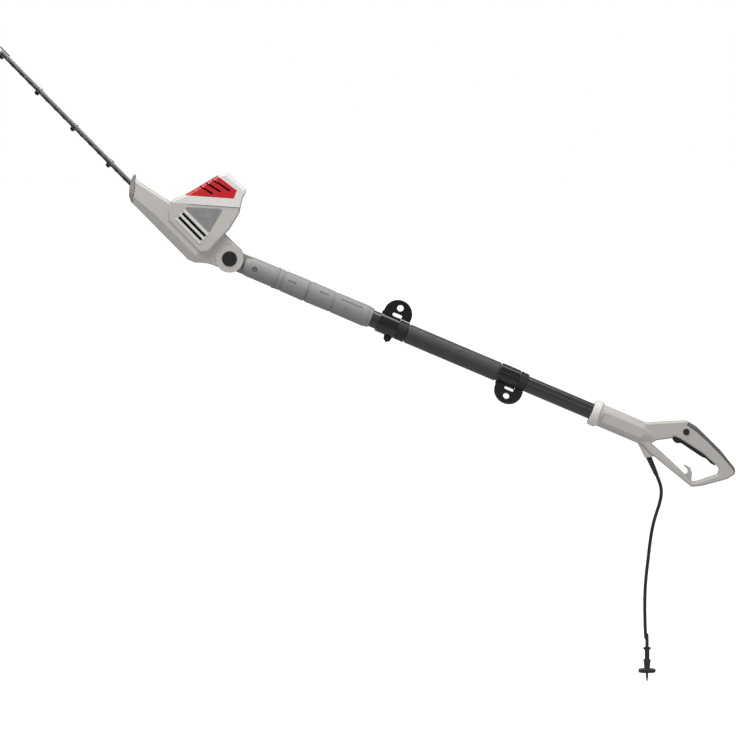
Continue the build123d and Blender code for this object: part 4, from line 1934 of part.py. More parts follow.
# ---- Cord and plug --------------------------------------------------------------------------
with BuildPart() as cord_boot:
    with BuildSketch(boot_plane.offset(-BOOT_SOCKET)):
        Circle(BOOT_RADIUS)
    extrude(amount=BOOT_SOCKET + BOOT_COLLAR)
    rib_pitch = BOOT_LENGTH / BOOT_RIBS
    for rib in range(BOOT_RIBS):
        share = (rib + 1) / BOOT_RIBS
        rib_radius = BOOT_RADIUS - (BOOT_RADIUS - BOOT_TIP_RADIUS) * share
        with BuildSketch(boot_plane.offset(BOOT_COLLAR + rib_pitch * rib)):
            Circle(rib_radius - BOOT_CORE)
        extrude(amount=rib_pitch)
        with BuildSketch(boot_plane.offset(BOOT_COLLAR + rib_pitch * (rib + 0.4))):
            Circle(rib_radius)
        extrude(amount=0.6 * rib_pitch)
    with BuildSketch(boot_plane.offset(-BOOT_SOCKET)):
        Circle(CORD_RADIUS + RUNNING_FIT)
    extrude(amount=2 * BOOT_LENGTH, mode=Mode.SUBTRACT)
cord_boot.part.label = "cord_boot"
export_step(cord_boot.part, "parts/cord_boot.step")

with BuildPart() as power_cord:
    with BuildLine() as cord_path:
        straight = Line(
            boot_plane.offset(-BOOT_SOCKET - CORD_INSIDE).origin,
            boot_plane.offset(BOOT_LENGTH + 2 * BOOT_COLLAR).origin,
        )
        Spline(
            straight @ 1,
            *[tilt_axis + Vector(x, 0, z) for x, z in CORD_POINTS],
            plug_top,
            tangents=[boot_dir, Vector(0, 0, -1)],
        )
    with BuildSketch(Plane(origin=straight @ 0, z_dir=boot_dir)):
        Circle(CORD_RADIUS)
    sweep(path=cord_path.wire())
power_cord.part.label = "power_cord"
export_step(power_cord.part, "parts/power_cord.step")

with BuildPart() as plug_body:
    # neck with a small grip bar
    with BuildSketch(plug_plane.offset(-PLUG_LENGTH)):
        Circle(PLUG_NECK_RADIUS)
    extrude(amount=PLUG_NECK_LENGTH)
    with BuildSketch(plug_plane.offset(-PLUG_LENGTH + PLUG_BAR_FROM)):
        SlotOverall(PLUG_BAR[0], PLUG_BAR[1])
    extrude(amount=PLUG_BAR[2])
    # tapered grip
    with BuildSketch(plug_plane.offset(-PLUG_LENGTH + PLUG_NECK_LENGTH)):
        RectangleRounded(*PLUG_WAIST)
    with BuildSketch(plug_plane.offset(-PLUG_FLANGE)):
        RectangleRounded(*PLUG_FOOT)
    loft()
    # flat oval flange with the two side notches of a contour plug
    with BuildSketch(plug_plane.offset(-PLUG_FLANGE)):
        Circle(PLUG_FLANGE_RADIUS)
        Rectangle(2 * PLUG_FLANGE_RADIUS, PLUG_FLANGE_WIDTH, mode=Mode.INTERSECT)
        with Locations((0, PLUG_FLANGE_WIDTH / 2), (0, -PLUG_FLANGE_WIDTH / 2)):
            Circle(PLUG_NOTCH_RADIUS, mode=Mode.SUBTRACT)
    extrude(amount=PLUG_FLANGE)
    with BuildSketch(plug_plane.offset(-PLUG_LENGTH)):
        Circle(CORD_RADIUS + RUNNING_FIT)
    extrude(amount=PLUG_CORD_DEPTH, mode=Mode.SUBTRACT)
    with BuildSketch(plug_plane):
        with Locations((0, PIN_SPACING / 2), (0, -PIN_SPACING / 2)):
            Circle(PIN_ROOT_RADIUS)
    extrude(amount=-PIN_SEAT, mode=Mode.SUBTRACT)
plug_body.part.label = "plug_body"
export_step(plug_body.part, "parts/plug_body.step")

with BuildPart() as plug_pins:
    with BuildSketch(plug_plane.offset(-PIN_SEAT)):
        with Locations((0, PIN_SPACING / 2), (0, -PIN_SPACING / 2)):
            Circle(PIN_ROOT_RADIUS)
    extrude(amount=PIN_SEAT)
    with BuildSketch(plug_plane):
        with Locations((0, PIN_SPACING / 2), (0, -PIN_SPACING / 2)):
            Circle(PIN_RADIUS)
    extrude(amount=PIN_LENGTH)
    fillet(plug_pins.edges().filter_by(GeomType.CIRCLE).group_by(Axis.Z)[0], PIN_TIP_ROUNDING)
plug_pins.part.label = "plug_pins"
export_step(plug_pins.part, "parts/plug_pins.step")
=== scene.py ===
from math import cos, pi, radians, sin

import bmesh
import bpy
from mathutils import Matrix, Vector, noise


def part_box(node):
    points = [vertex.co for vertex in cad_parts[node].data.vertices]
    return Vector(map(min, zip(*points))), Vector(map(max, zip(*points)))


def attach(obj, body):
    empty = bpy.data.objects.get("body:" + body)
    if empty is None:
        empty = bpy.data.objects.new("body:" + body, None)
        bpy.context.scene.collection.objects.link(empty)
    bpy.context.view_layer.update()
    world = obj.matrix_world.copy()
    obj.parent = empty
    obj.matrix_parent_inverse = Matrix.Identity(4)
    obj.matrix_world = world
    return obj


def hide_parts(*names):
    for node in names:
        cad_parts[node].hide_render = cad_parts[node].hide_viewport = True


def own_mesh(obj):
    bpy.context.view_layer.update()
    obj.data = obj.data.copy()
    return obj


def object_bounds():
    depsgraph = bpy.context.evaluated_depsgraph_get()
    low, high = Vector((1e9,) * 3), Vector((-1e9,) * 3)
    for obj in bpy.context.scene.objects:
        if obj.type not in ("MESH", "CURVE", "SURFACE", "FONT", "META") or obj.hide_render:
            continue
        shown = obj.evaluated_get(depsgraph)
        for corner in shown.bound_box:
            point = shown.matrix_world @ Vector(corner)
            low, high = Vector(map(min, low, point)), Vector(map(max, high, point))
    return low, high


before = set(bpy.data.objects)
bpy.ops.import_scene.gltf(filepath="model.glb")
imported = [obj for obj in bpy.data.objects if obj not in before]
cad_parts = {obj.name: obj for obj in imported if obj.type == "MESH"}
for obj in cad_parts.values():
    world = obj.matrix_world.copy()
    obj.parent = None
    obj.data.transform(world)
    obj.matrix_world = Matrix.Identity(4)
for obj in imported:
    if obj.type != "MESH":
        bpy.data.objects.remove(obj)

cad_low, cad_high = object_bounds()

# ---- Directions of the object ---------------------------------------------------------------
POLE_SLOPE = radians(23.0)
HEAD_RISE = radians(45.5)
along = Vector((cos(POLE_SLOPE), 0, -sin(POLE_SLOPE)))
above = Vector((sin(POLE_SLOPE), 0, cos(POLE_SLOPE)))
forward = Vector((-cos(HEAD_RISE), 0, sin(HEAD_RISE)))
upward = Vector((sin(HEAD_RISE), 0, cos(HEAD_RISE)))
TILT_AXIS_ALONG = -0.406     # from the front strap eye, the origin, to the axis the head tilts on
TILT_AXIS_ABOVE = -0.047
tilt_axis = TILT_AXIS_ALONG * along + TILT_AXIS_ABOVE * above

# ---- Colours --------------------------------------------------------------------------------
HOUSING = (0.60, 0.575, 0.545)
TRIM = (0.84, 0.825, 0.80)
FRAME_GREY = (0.33, 0.325, 0.315)
RED = (0.66, 0.018, 0.026)
BADGE = (0.50, 0.50, 0.50)
GRIP = (0.29, 0.295, 0.285)
BLACK = (0.012, 0.012, 0.013)
DUST = (0.46, 0.44, 0.41)
BRIGHT_METAL = (0.8, 0.8, 0.8)


# ---- Material toolkit -----------------------------------------------------------------------
class Surface:
    """A node-based material built step by step round one Principled shader."""

    def __init__(self, name, turn=0.0):
        self.material = bpy.data.materials.new(name)
        self.material.use_nodes = True
        self.nodes = self.material.node_tree.nodes
        self.links = self.material.node_tree.links
        self.shader = self.nodes["Principled BSDF"]
        place = self.nodes.new("ShaderNodeTexCoord")
        self.place = self.nodes.new("ShaderNodeMapping")
        self.place.vector_type = "POINT"
        self.place.inputs["Rotation"].default_value = (0, turn, 0)
        self.links.new(place.outputs["Object"], self.place.inputs["Vector"])
        self.normal = None

    def link(self, source, target):
        self.links.new(source, target)

    def stretched(self, x, y, z):
        """Object coordinates in metres, scaled along the axes of the piece."""
        scale = self.nodes.new("ShaderNodeMapping")
        scale.inputs["Scale"].default_value = (x, y, z)
        self.link(self.place.outputs["Vector"], scale.inputs["Vector"])
        return scale.outputs["Vector"]

    def noise(self, scale, detail=3.0, roughness=0.55, vector=None, distortion=0.0):
        node = self.nodes.new("ShaderNodeTexNoise")
        node.inputs["Scale"].default_value = scale
        node.inputs["Detail"].default_value = detail
        node.inputs["Roughness"].default_value = roughness
        node.inputs["Distortion"].default_value = distortion
        self.link(vector or self.place.outputs["Vector"], node.inputs["Vector"])
        return node.outputs["Fac"]

    def cells(self, scale):
        node = self.nodes.new("ShaderNodeTexVoronoi")
        node.inputs["Scale"].default_value = scale
        self.link(self.place.outputs["Vector"], node.inputs["Vector"])
        return node.outputs["Distance"]

    def remap(self, value, low, high, to_low=0.0, to_high=1.0, smooth=False):
        node = self.nodes.new("ShaderNodeMapRange")
        node.interpolation_type = "SMOOTHSTEP" if smooth else "LINEAR"
        for key, number in (
            ("From Min", low), ("From Max", high), ("To Min", to_low), ("To Max", to_high)
        ):
            node.inputs[key].default_value = number
        self.link(value, node.inputs["Value"])
        return node.outputs["Result"]

    def math(self, operation, first, second=0.0):
        node = self.nodes.new("ShaderNodeMath")
        node.operation = operation
        for socket, value in zip(node.inputs, (first, second)):
            if isinstance(value, (int, float)):
                socket.default_value = value
            else:
                self.link(value, socket)
        return node.outputs["Value"]

    def mix(self, share, first, second):
        node = self.nodes.new("ShaderNodeMix")
        node.data_type = "RGBA"
        sockets = (node.inputs[0], node.inputs[6], node.inputs[7])
        for socket, value in zip(sockets, (share, first, second)):
            if isinstance(value, (int, float)):
                socket.default_value = value
            elif isinstance(value, tuple):
                socket.default_value = value + (1.0,) if len(value) == 3 else value
            else:
                self.link(value, socket)
        return node.outputs[2]

    def axis(self, name):
        node = self.nodes.new("ShaderNodeSeparateXYZ")
        self.link(self.place.outputs["Vector"], node.inputs["Vector"])
        return node.outputs[name]

    def distance(self, point, direction):
        """Distance in metres from a point along a direction."""
        away = self.nodes.new("ShaderNodeVectorMath")
        away.operation = "SUBTRACT"
        self.link(self.place.outputs["Vector"], away.inputs[0])
        away.inputs[1].default_value = point
        dot = self.nodes.new("ShaderNodeVectorMath")
        dot.operation = "DOT_PRODUCT"
        self.link(away.outputs["Vector"], dot.inputs[0])
        dot.inputs[1].default_value = direction
        return dot.outputs["Value"]

    def edges(self, radius):
        """Rounds the shading of sharp edges, and returns a mask of the edges."""
        bevel = self.nodes.new("ShaderNodeBevel")
        bevel.samples = 4
        bevel.inputs["Radius"].default_value = radius
        shape = self.nodes.new("ShaderNodeNewGeometry")
        dot = self.nodes.new("ShaderNodeVectorMath")
        dot.operation = "DOT_PRODUCT"
        self.link(bevel.outputs["Normal"], dot.inputs[0])
        self.link(shape.outputs["Normal"], dot.inputs[1])
        self.normal = bevel.outputs["Normal"]
        return self.remap(dot.outputs["Value"], 0.99, 0.86, 0.0, 1.0, smooth=True)

    def crevices(self, reach, amount):
        """Mask of grooves and inner corners, where painted shade darkens the colour."""
        node = self.nodes.new("ShaderNodeAmbientOcclusion")
        node.samples = 6
        node.only_local = True
        node.inputs["Distance"].default_value = reach
        return self.remap(node.outputs["AO"], 0.3, 0.92, amount, 0.0, smooth=True)

    def bump(self, height, distance, strength=1.0):
        node = self.nodes.new("ShaderNodeBump")
        node.inputs["Strength"].default_value = strength
        node.inputs["Distance"].default_value = distance
        self.link(height, node.inputs["Height"])
        if self.normal is not None:
            self.link(self.normal, node.inputs["Normal"])
        self.normal = node.outputs["Normal"]

    def done(self, colour, roughness, **values):
        self.link(colour, self.shader.inputs["Base Color"])
        self.link(roughness, self.shader.inputs["Roughness"])
        if self.normal is not None:
            self.link(self.normal, self.shader.inputs["Normal"])
        for key, number in values.items():
            self.shader.inputs[key.replace("_", " ")].default_value = number
        return self.material


def shade(colour, factor):
    return tuple(min(1.0, channel * factor) for channel in colour)


def moulded_plastic(name, colour, rough=0.45, grain=0.00002, grain_size=1500.0, wear=0.35,
                    parting=False, edge=0.0006, mottling=0.05, coat=0.0, scuffs=0.25, dusty=0.10,
                    pale_band_and_highlight=None, groove_shade=0.5):
    """Injection-moulded plastic: spark-eroded grain, slight flow shading, worn edges, fine scuffs,
    painted shade in grooves.
    """
    s = Surface(name)
    worn = s.edges(edge)
    flow = s.noise(14.0, 4.0)
    patches = s.noise(90.0, 3.0)
    base = s.mix(flow, shade(colour, 1.0 - mottling), shade(colour, 1.0 + mottling))
    if pale_band_and_highlight:
        # The band is pale trim; on the ribs the same near-white is a painted highlight.
        base = s.mix(pale_band_and_highlight(s), base, TRIM)
    if groove_shade:
        # Painted shade: ambient occlusion darkens the grooves and inner corners.
        base = s.mix(s.crevices(0.003, groove_shade), base, shade(colour, 0.16))
    dust = s.remap(patches, 0.55, 0.8, 0.0, dusty)
    base = s.mix(dust, base, DUST)
    light_edge = tuple(channel + (0.85 - channel) * 0.35 for channel in colour)
    wear_mask = s.math("MULTIPLY", worn, s.remap(s.noise(260.0, 4.0), 0.35, 0.7, 0.0, wear))
    base = s.mix(wear_mask, base, light_edge)
    scratch = s.noise(30.0, 2.0, vector=s.stretched(9.0, 9.0, 0.6), distortion=0.4)
    scratches = s.remap(scratch, 0.66, 0.72, 0.0, scuffs)
    gloss = s.remap(s.noise(45.0, 3.0), 0.3, 0.7, rough - 0.06, rough + 0.08)
    gloss = s.math("ADD", gloss, s.math("MULTIPLY", scratches, 0.25))
    if parting:
        seam = s.remap(s.math("ABSOLUTE", s.axis("Y")), 0.00016, 0.00034, 1.0, 0.0, smooth=True)
        base = s.mix(s.math("MULTIPLY", seam, 0.75), base, shade(colour, 0.25))
        s.bump(s.math("MULTIPLY", seam, -1.0), 0.0003)
    s.bump(s.noise(grain_size, 2.0, 0.6), grain)
    return s.done(base, gloss, Coat_Weight=coat, Coat_Roughness=0.12)


def gloss_plastic(name, colour, rough, edge=0.0006, coat=0.4):
    """Polished plastic with faint orange peel, hairline scratches and handling marks."""
    s = Surface(name)
    worn = s.edges(edge)
    base = s.mix(s.noise(20.0, 3.0), shade(colour, 0.92), shade(colour, 1.08))
    light_edge = tuple(channel + (0.7 - channel) * 0.3 for channel in colour)
    wear_mask = s.math("MULTIPLY", worn, s.remap(s.noise(300.0), 0.4, 0.7, 0.0, 0.35))
    base = s.mix(wear_mask, base, light_edge)
    smears = s.remap(s.noise(28.0, 5.0, 0.7, distortion=1.2), 0.4, 0.75, 0.0, 0.14)
    hairs = s.remap(s.noise(24.0, 2.0, vector=s.stretched(14.0, 1.0, 0.8)), 0.68, 0.71, 0.0, 0.12)
    gloss = s.math("ADD", s.math("ADD", smears, hairs), rough)
    s.bump(s.noise(420.0, 2.0), 0.00001)
    return s.done(base, gloss, Coat_Weight=coat, Coat_Roughness=0.08)


def brushed_steel(name, colour, turn, rough=0.3, marks=0.5, edge=0.0004, oil=0.0, across=False):
    """Ground steel: fine grinding lines across the part, brighter edges, light stains and oil."""
    s = Surface(name, turn)
    bright = s.edges(edge)
    if across:
        grind = s.noise(1.0, 4.0, 0.7, vector=s.stretched(2600.0, 60.0, 60.0))
    else:
        grind = s.noise(1.0, 4.0, 0.7, vector=s.stretched(50.0, 2600.0, 2600.0))
    stains = s.noise(60.0, 5.0, 0.65, distortion=0.6)
    base = s.mix(grind, shade(colour, 0.90), shade(colour, 1.08))
    base = s.mix(s.remap(stains, 0.52, 0.78, 0.0, marks), base, shade(colour, 0.45))
    base = s.mix(s.math("MULTIPLY", bright, 0.6), base, (0.85, 0.85, 0.84))
    gloss = s.remap(grind, 0.2, 0.8, rough - 0.08, rough + 0.12)
    gloss = s.math("ADD", gloss, s.remap(stains, 0.5, 0.8, 0.0, 0.2))
    s.bump(grind, 0.00001)
    return s.done(base, gloss, Metallic=1.0, Coat_Weight=oil, Coat_Roughness=0.2)


def plain_metal(name, colour, rough=0.35, grain_size=700.0, grain=0.00001, spots=0.3, edge=0.0003):
    """Plated, blackened or cast metal with grain, spots and bright edges."""
    s = Surface(name)
    bright = s.edges(edge)
    base = s.mix(s.noise(240.0, 4.0), shade(colour, 0.8), shade(colour, 1.15))
    base = s.mix(s.remap(s.noise(130.0, 4.0, 0.7), 0.58, 0.75, 0.0, spots), base, shade(colour, 0.4))
    base = s.mix(s.math("MULTIPLY", bright, 0.4), base, BRIGHT_METAL)
    gloss = s.remap(s.noise(180.0, 3.0), 0.3, 0.7, rough - 0.08, rough + 0.1)
    s.bump(s.noise(grain_size, 3.0), grain)
    return s.done(base, gloss, Metallic=1.0)


def rubber(name, colour, rough=0.6, grain_size=1100.0, grain=0.00004, pores=False, sheen=0.2,
           specular=0.5):
    """Soft rubber or foam: fine skin texture, dusty patches, faint sheen."""
    s = Surface(name)
    base = s.mix(s.noise(35.0, 4.0), shade(colour, 0.8), shade(colour, 1.3))
    dust = s.remap(s.noise(160.0, 4.0, 0.7), 0.5, 0.8, 0.0, 0.12)
    base = s.mix(dust, base, (0.10, 0.097, 0.093))
    if pores:
        cell = s.cells(900.0)
        # Painted shade: each pore is darker inside.
        base = s.mix(s.remap(cell, 0.0, 0.35, 0.55, 0.0), base, shade(colour, 0.35))
        s.bump(s.remap(cell, 0.0, 0.6, 0.0, 1.0, smooth=True), 0.00025, 0.8)
    s.bump(s.noise(grain_size, 3.0), grain)
    gloss = s.remap(s.noise(70.0, 3.0), 0.3, 0.7, rough - 0.07, rough + 0.1)
    return s.done(base, gloss, Sheen_Weight=sheen, Sheen_Roughness=0.5, Specular_IOR_Level=specular)


def coated_tube(name, colour, rough):
    """Black coated tube: drawing lines along it, fine coating grain, long sliding scratches."""
    s = Surface(name, -POLE_SLOPE)
    drawn = s.noise(1.0, 3.0, 0.6, vector=s.stretched(6.0, 1500.0, 1500.0))
    rubs = s.noise(1.0, 4.0, 0.6, vector=s.stretched(9.0, 420.0, 420.0), distortion=0.2)
    base = s.mix(drawn, shade(colour, 0.8), shade(colour, 1.35))
    base = s.mix(s.remap(rubs, 0.64, 0.72, 0.0, 0.3), base, (0.07, 0.07, 0.07))
    gloss = s.remap(drawn, 0.2, 0.8, rough - 0.06, rough + 0.08)
    s.bump(drawn, 0.000008)
    s.bump(s.noise(2200.0, 2.0), 0.000006)
    return s.done(base, gloss, Coat_Weight=0.3, Coat_Roughness=0.25, Specular_IOR_Level=0.8)


def copper_windings(name, colour):
    """Enamelled wire laid in layers."""
    s = Surface(name, HEAD_RISE)
    wire = s.nodes.new("ShaderNodeTexWave")
    wire.bands_direction = "Z"
    wire.inputs["Scale"].default_value = 330.0
    wire.inputs["Distortion"].default_value = 1.5
    s.link(s.place.outputs["Vector"], wire.inputs["Vector"])
    # Painted shade: the copper is darker in the grooves between the turns of wire.
    base = s.mix(wire.outputs["Fac"], shade(colour, 0.45), colour)
    s.bump(wire.outputs["Fac"], 0.0004)
    gloss = s.remap(s.noise(200.0), 0.3, 0.7, 0.22, 0.4)
    return s.done(base, gloss, Metallic=0.9, Coat_Weight=0.6)


BAND_FRONT = tilt_axis + 0.1775 * forward + 0.0285 * upward
BAND_DOWN = (-0.6609 * forward - 0.7505 * upward).normalized()
BAND_WIDTH = 0.019
BLUR = 0.0002                # width of the change from one colour to the other
FLANK_FOOT = 0.012           # height above the tilt axis where the flank starts to lean in
FLANK_LEAN = 0.0797          # how far it leans in for each metre of height
FLANK_FACE = 0.0446          # half the width of the head at the foot of the flank
RIB_FACE = 0.0463            # only the ribs round the vents stand further out than this
PIN_TIP_LENGTH = 0.007       # the bare tips of the plug pins


def band_and_rib_highlight(s):
    """Mask of the near-white slanted band, and of the ribs round the side vents, painted near-white as
    a painted highlight.
    """
    depth = s.distance(BAND_FRONT, BAND_DOWN)
    inside = s.math("MULTIPLY", s.remap(depth, -BLUR, BLUR),
                    s.remap(depth, BAND_WIDTH - BLUR, BAND_WIDTH + BLUR, 1.0, 0.0))
    # The nose stays inside the line of the flank, so the band doesn't run onto it.
    lean = s.math("MULTIPLY", s.distance(tilt_axis + FLANK_FOOT * upward, upward), FLANK_LEAN)
    flank = s.remap(s.math("ADD", s.math("ABSOLUTE", s.axis("Y")), lean), FLANK_FACE, FLANK_FACE + BLUR)
    # Painted highlight: the ribs round the side vents are painted near-white.
    rib_highlight = s.remap(s.math("ABSOLUTE", s.axis("Y")), RIB_FACE, RIB_FACE + BLUR)
    return s.math("MAXIMUM", s.math("MULTIPLY", inside, flank), rib_highlight)


def sleeved_pins(name):
    """Plug pins: nickel tips with a black insulating sleeve next to the plug."""
    s = Surface(name)
    bright = s.edges(0.0003)
    metal = s.mix(s.noise(240.0, 4.0), (0.50, 0.48, 0.44), (0.72, 0.70, 0.65))
    metal = s.mix(s.math("MULTIPLY", bright, 0.4), metal, BRIGHT_METAL)
    sleeve_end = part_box("plug_pins")[0][2] + PIN_TIP_LENGTH
    sleeved = s.remap(s.axis("Z"), sleeve_end - 0.0001, sleeve_end + 0.0001)
    rub = s.mix(s.noise(900.0, 3.0), (0.010, 0.010, 0.010), (0.022, 0.022, 0.022))
    base = s.mix(sleeved, metal, rub)
    gloss = s.remap(s.noise(180.0, 3.0), 0.3, 0.7, 0.25, 0.4)
    gloss = s.math("ADD", gloss, s.math("MULTIPLY", sleeved, 0.15))
    s.link(s.math("SUBTRACT", 1.0, sleeved), s.shader.inputs["Metallic"])
    s.bump(s.noise(700.0, 3.0), 0.00001)
    return s.done(base, gloss)


housing = moulded_plastic("housing_plastic", HOUSING, 0.42, parting=True, pale_band_and_highlight=band_and_rib_highlight)
handle_plastic = moulded_plastic("handle_plastic", HOUSING, 0.45, parting=True, wear=0.45)
trim = moulded_plastic("trim_plastic", TRIM, 0.4)
frame_plastic = moulded_plastic("frame_plastic", FRAME_GREY, 0.5, grain=0.00004)
red_cover = gloss_plastic("red_cover_plastic", RED, 0.22)
grip_plastic = moulded_plastic("grip_plastic", GRIP, 0.5, grain=0.00004, parting=True, wear=0.5,
                               groove_shade=0.9)
black_plastic = moulded_plastic("black_plastic", BLACK, 0.48, grain=0.00003, wear=0.4, dusty=0.02)
clamp_plastic = gloss_plastic("clamp_plastic", (0.009, 0.009, 0.010), 0.2)
tube_coating = coated_tube("tube_coating", (0.014, 0.014, 0.015), 0.32)
foam = rubber("foam_skin", (0.014, 0.0135, 0.0135), 0.46, pores=True, sheen=0.08, specular=1.0)
soft_grip = rubber("soft_grip_rubber", (0.13, 0.13, 0.13), 0.62, grain_size=900.0, grain=0.00006)
cord_rubber = rubber("cord_rubber", (0.012, 0.012, 0.012), 0.45, grain=0.00003)
plug_rubber = rubber("plug_rubber", (0.014, 0.014, 0.014), 0.5, grain=0.00005)
bar_steel = brushed_steel("bar_steel", (0.38, 0.38, 0.375), HEAD_RISE, 0.5, marks=0.25)
blade_steel = brushed_steel("blade_steel", (0.10, 0.10, 0.105), HEAD_RISE, 0.36, oil=0.15, across=True)
badge_metal = brushed_steel("badge_metal", BADGE, HEAD_RISE, 0.42, marks=0.15)
zinc = plain_metal("zinc_plate", (0.58, 0.58, 0.56), 0.3)
black_steel = plain_metal("black_oxide", (0.05, 0.05, 0.052), 0.45)
cast_alloy = plain_metal("cast_alloy", (0.5, 0.5, 0.51), 0.55, grain_size=500.0, grain=0.00006)
copper = copper_windings("winding_copper", (0.70, 0.30, 0.14))
nickel = plain_metal("brush_nickel", (0.72, 0.69, 0.62), 0.22, spots=0.15)
pin_finish = sleeved_pins("plug_pin_finish")
# Near-black: painted shade inside the vents.
vent_shade_finish = plain_metal("vent_shade_sheet", (0.02, 0.02, 0.021), 0.6, grain_size=1200.0, grain=0.0002)

NODE_MATERIALS = {
    "head_shell_left": housing, "head_shell_right": housing, "side_badges": badge_metal,
    "head_screws": zinc, "motor_vent_cover": red_cover, "motor_end_cap": trim,
    "front_frame": frame_plastic, "guide_bar": bar_steel, "upper_blade": blade_steel,
    "lower_blade": blade_steel, "blade_bolts": zinc, "blade_washers": zinc, "blade_nuts": black_steel,
    "tip_guard": bar_steel, "drive_gear": black_steel, "gear_pin": zinc,
    "gearbox_plate": cast_alloy, "base_plate": zinc, "motor_stator": black_steel,
    "field_coils": copper, "motor_shaft": zinc, "armature_core": black_steel,
    "commutator": copper, "cooling_fan": black_plastic, "motor_bearings": zinc,
    "brush_holders": nickel, "tilt_button": black_plastic, "tilt_lock_ring": black_steel,
    "tilt_spring": zinc, "tilt_axle": zinc, "knuckle": grip_plastic,
    "front_grip_left": grip_plastic, "front_grip_right": grip_plastic, "pole_screws": zinc,
    "outer_tube": tube_coating, "foam_sleeve": foam, "sleeve_collar": black_plastic,
    "telescope_collet": trim, "telescope_nut": black_plastic, "inner_tube": tube_coating,
    "inner_tube_glide": black_plastic, "pole_cable": cord_rubber,
    "front_strap_clamp": clamp_plastic, "front_clamp_screw": black_steel,
    "rear_strap_clamp": clamp_plastic, "rear_clamp_screws": black_steel,
    "handle_shell_left": handle_plastic, "handle_shell_right": handle_plastic,
    "handle_soft_grip": soft_grip, "handle_screws": zinc, "handle_collar": trim,
    "trigger": black_plastic, "trigger_pin": zinc, "trigger_spring": zinc,
    "switch_body": black_plastic, "lock_off_button": black_plastic, "cord_boot": cord_rubber,
    "power_cord": cord_rubber, "plug_body": plug_rubber, "plug_pins": pin_finish,
}
for node_name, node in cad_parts.items():
    surface = NODE_MATERIALS[node_name]
    if not node.material_slots:
        node.data.materials.append(surface)
    for place in node.material_slots:
        place.material = surface


# ---- Soft pieces ----------------------------------------------------------------------------
def soft_copy(name, node_name, voxel, smoothing, body, surface):
    """A soft moulding: the CAD form rebuilt as an even mesh with softened edges."""
    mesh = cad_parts[node_name].data.copy()
    piece = bpy.data.objects.new(name, mesh)
    bpy.context.scene.collection.objects.link(piece)
    remesh = piece.modifiers.new("even_mesh", "REMESH")
    remesh.mode = "VOXEL"
    remesh.voxel_size = voxel
    relax = piece.modifiers.new("relax", "LAPLACIANSMOOTH")
    relax.iterations = smoothing
    relax.lambda_factor = 0.6
    relax.use_volume_preserve = True
    bpy.context.view_layer.update()
    shown = piece.evaluated_get(bpy.context.evaluated_depsgraph_get())
    final = bpy.data.meshes.new_from_object(shown)
    piece.modifiers.clear()
    piece.data = final
    final.materials.clear()
    final.materials.append(surface)
    final.shade_smooth()
    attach(piece, body)
    return piece


def roughen(piece, scale, height, depth=2):
    """Moves the points of a soft piece along their normals by a little smooth noise."""
    mesh = piece.data
    moves = [
        normal.vector * (noise.fractal(vertex.co * scale, 0.6, 2.0, depth) * height)
        for vertex, normal in zip(mesh.vertices, mesh.vertex_normals)
    ]
    for vertex, move in zip(mesh.vertices, moves):
        vertex.co += move
    mesh.update()


def foam_tube(name, start, end, inner, outer, rounding):
    """The foam sleeve: a dense ring mesh with rolled ends and a slightly uneven skin."""
    around, lengthwise = 180, 200
    profile = [(start, inner)]
    for step in range(7):
        turn = pi / 2 * step / 6
        profile.append((start + rounding * (1 - sin(turn)), outer - rounding * (1 - cos(turn))))
    profile = profile[:1] + profile[1:][::-1]
    for step in range(1, lengthwise):
        share = step / lengthwise
        profile.append((start + rounding + (end - start - 2 * rounding) * share, outer))
    for step in range(7):
        turn = pi / 2 * step / 6
        profile.append((end - rounding * (1 - sin(turn)), outer - rounding * (1 - cos(turn))))
    profile.append((end, inner))
    mesh = bpy.data.meshes.new(name)
    form = bmesh.new()
    across = Vector((0, 1, 0))
    rings = []
    for at, radius in profile:
        ring = []
        for index in range(around):
            angle = 2 * pi * index / around
            out = across * cos(angle) + above * sin(angle)
            point = tilt_axis + along * at + out * radius
            if radius > inner + 0.0005:
                swell = noise.fractal(point * 90.0, 0.7, 2.0, 3) * 0.00016
                swell += noise.fractal(point * 900.0, 0.7, 2.0, 2) * 0.00006
                point += out * (swell - 0.00012)
            ring.append(form.verts.new(point))
        rings.append(ring)
    for first, second in zip(rings, rings[1:] + rings[:1]):
        for index in range(around):
            after = (index + 1) % around
            form.faces.new((first[index], first[after], second[after], second[index]))
    bmesh.ops.recalc_face_normals(form, faces=form.faces)
    form.to_mesh(mesh)
    form.free()
    mesh.shade_smooth()
    return bpy.data.objects.new(name, mesh)


SLEEVE_START = 0.443         # along the pole from the tilt axis
SLEEVE_END = 0.670
SLEEVE_BORE = 0.0198         # radius
SLEEVE_RADIUS = 0.0225
SLEEVE_ROUNDING = 0.0016
sleeve = foam_tube("foam_grip", SLEEVE_START, SLEEVE_END, SLEEVE_BORE, SLEEVE_RADIUS, SLEEVE_ROUNDING)
bpy.context.scene.collection.objects.link(sleeve)
sleeve.data.materials.append(foam)
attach(sleeve, "pole")
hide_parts("foam_sleeve")

grip_pad = soft_copy("soft_grip_pad", "handle_soft_grip", 0.0011, 2, "handle", soft_grip)
roughen(grip_pad, 260.0, 0.00008)
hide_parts("handle_soft_grip")

cord = soft_copy("mains_cord", "power_cord", 0.0010, 4, "handle", cord_rubber)
roughen(cord, 120.0, 0.00018)
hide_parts("power_cord")

boot = soft_copy("cord_sleeve", "cord_boot", 0.0006, 1, "handle", cord_rubber)
roughen(boot, 700.0, 0.00006)
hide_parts("cord_boot")

plug = soft_copy("mains_plug", "plug_body", 0.0008, 2, "handle", plug_rubber)
roughen(plug, 500.0, 0.00007)
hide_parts("plug_body")


def coil_spring(name, node_name, body):
    """A coil spring copied from the CAD spring as a piece of its own on its body."""
    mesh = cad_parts[node_name].data.copy()
    mesh.set_sharp_from_angle(angle=radians(60))
    piece = bpy.data.objects.new(name, mesh)
    bpy.context.scene.collection.objects.link(piece)
    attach(piece, body)
    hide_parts(node_name)
    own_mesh(piece)


coil_spring("tilt_coil", "tilt_spring", "pole")
coil_spring("trigger_coil", "trigger_spring", "handle")


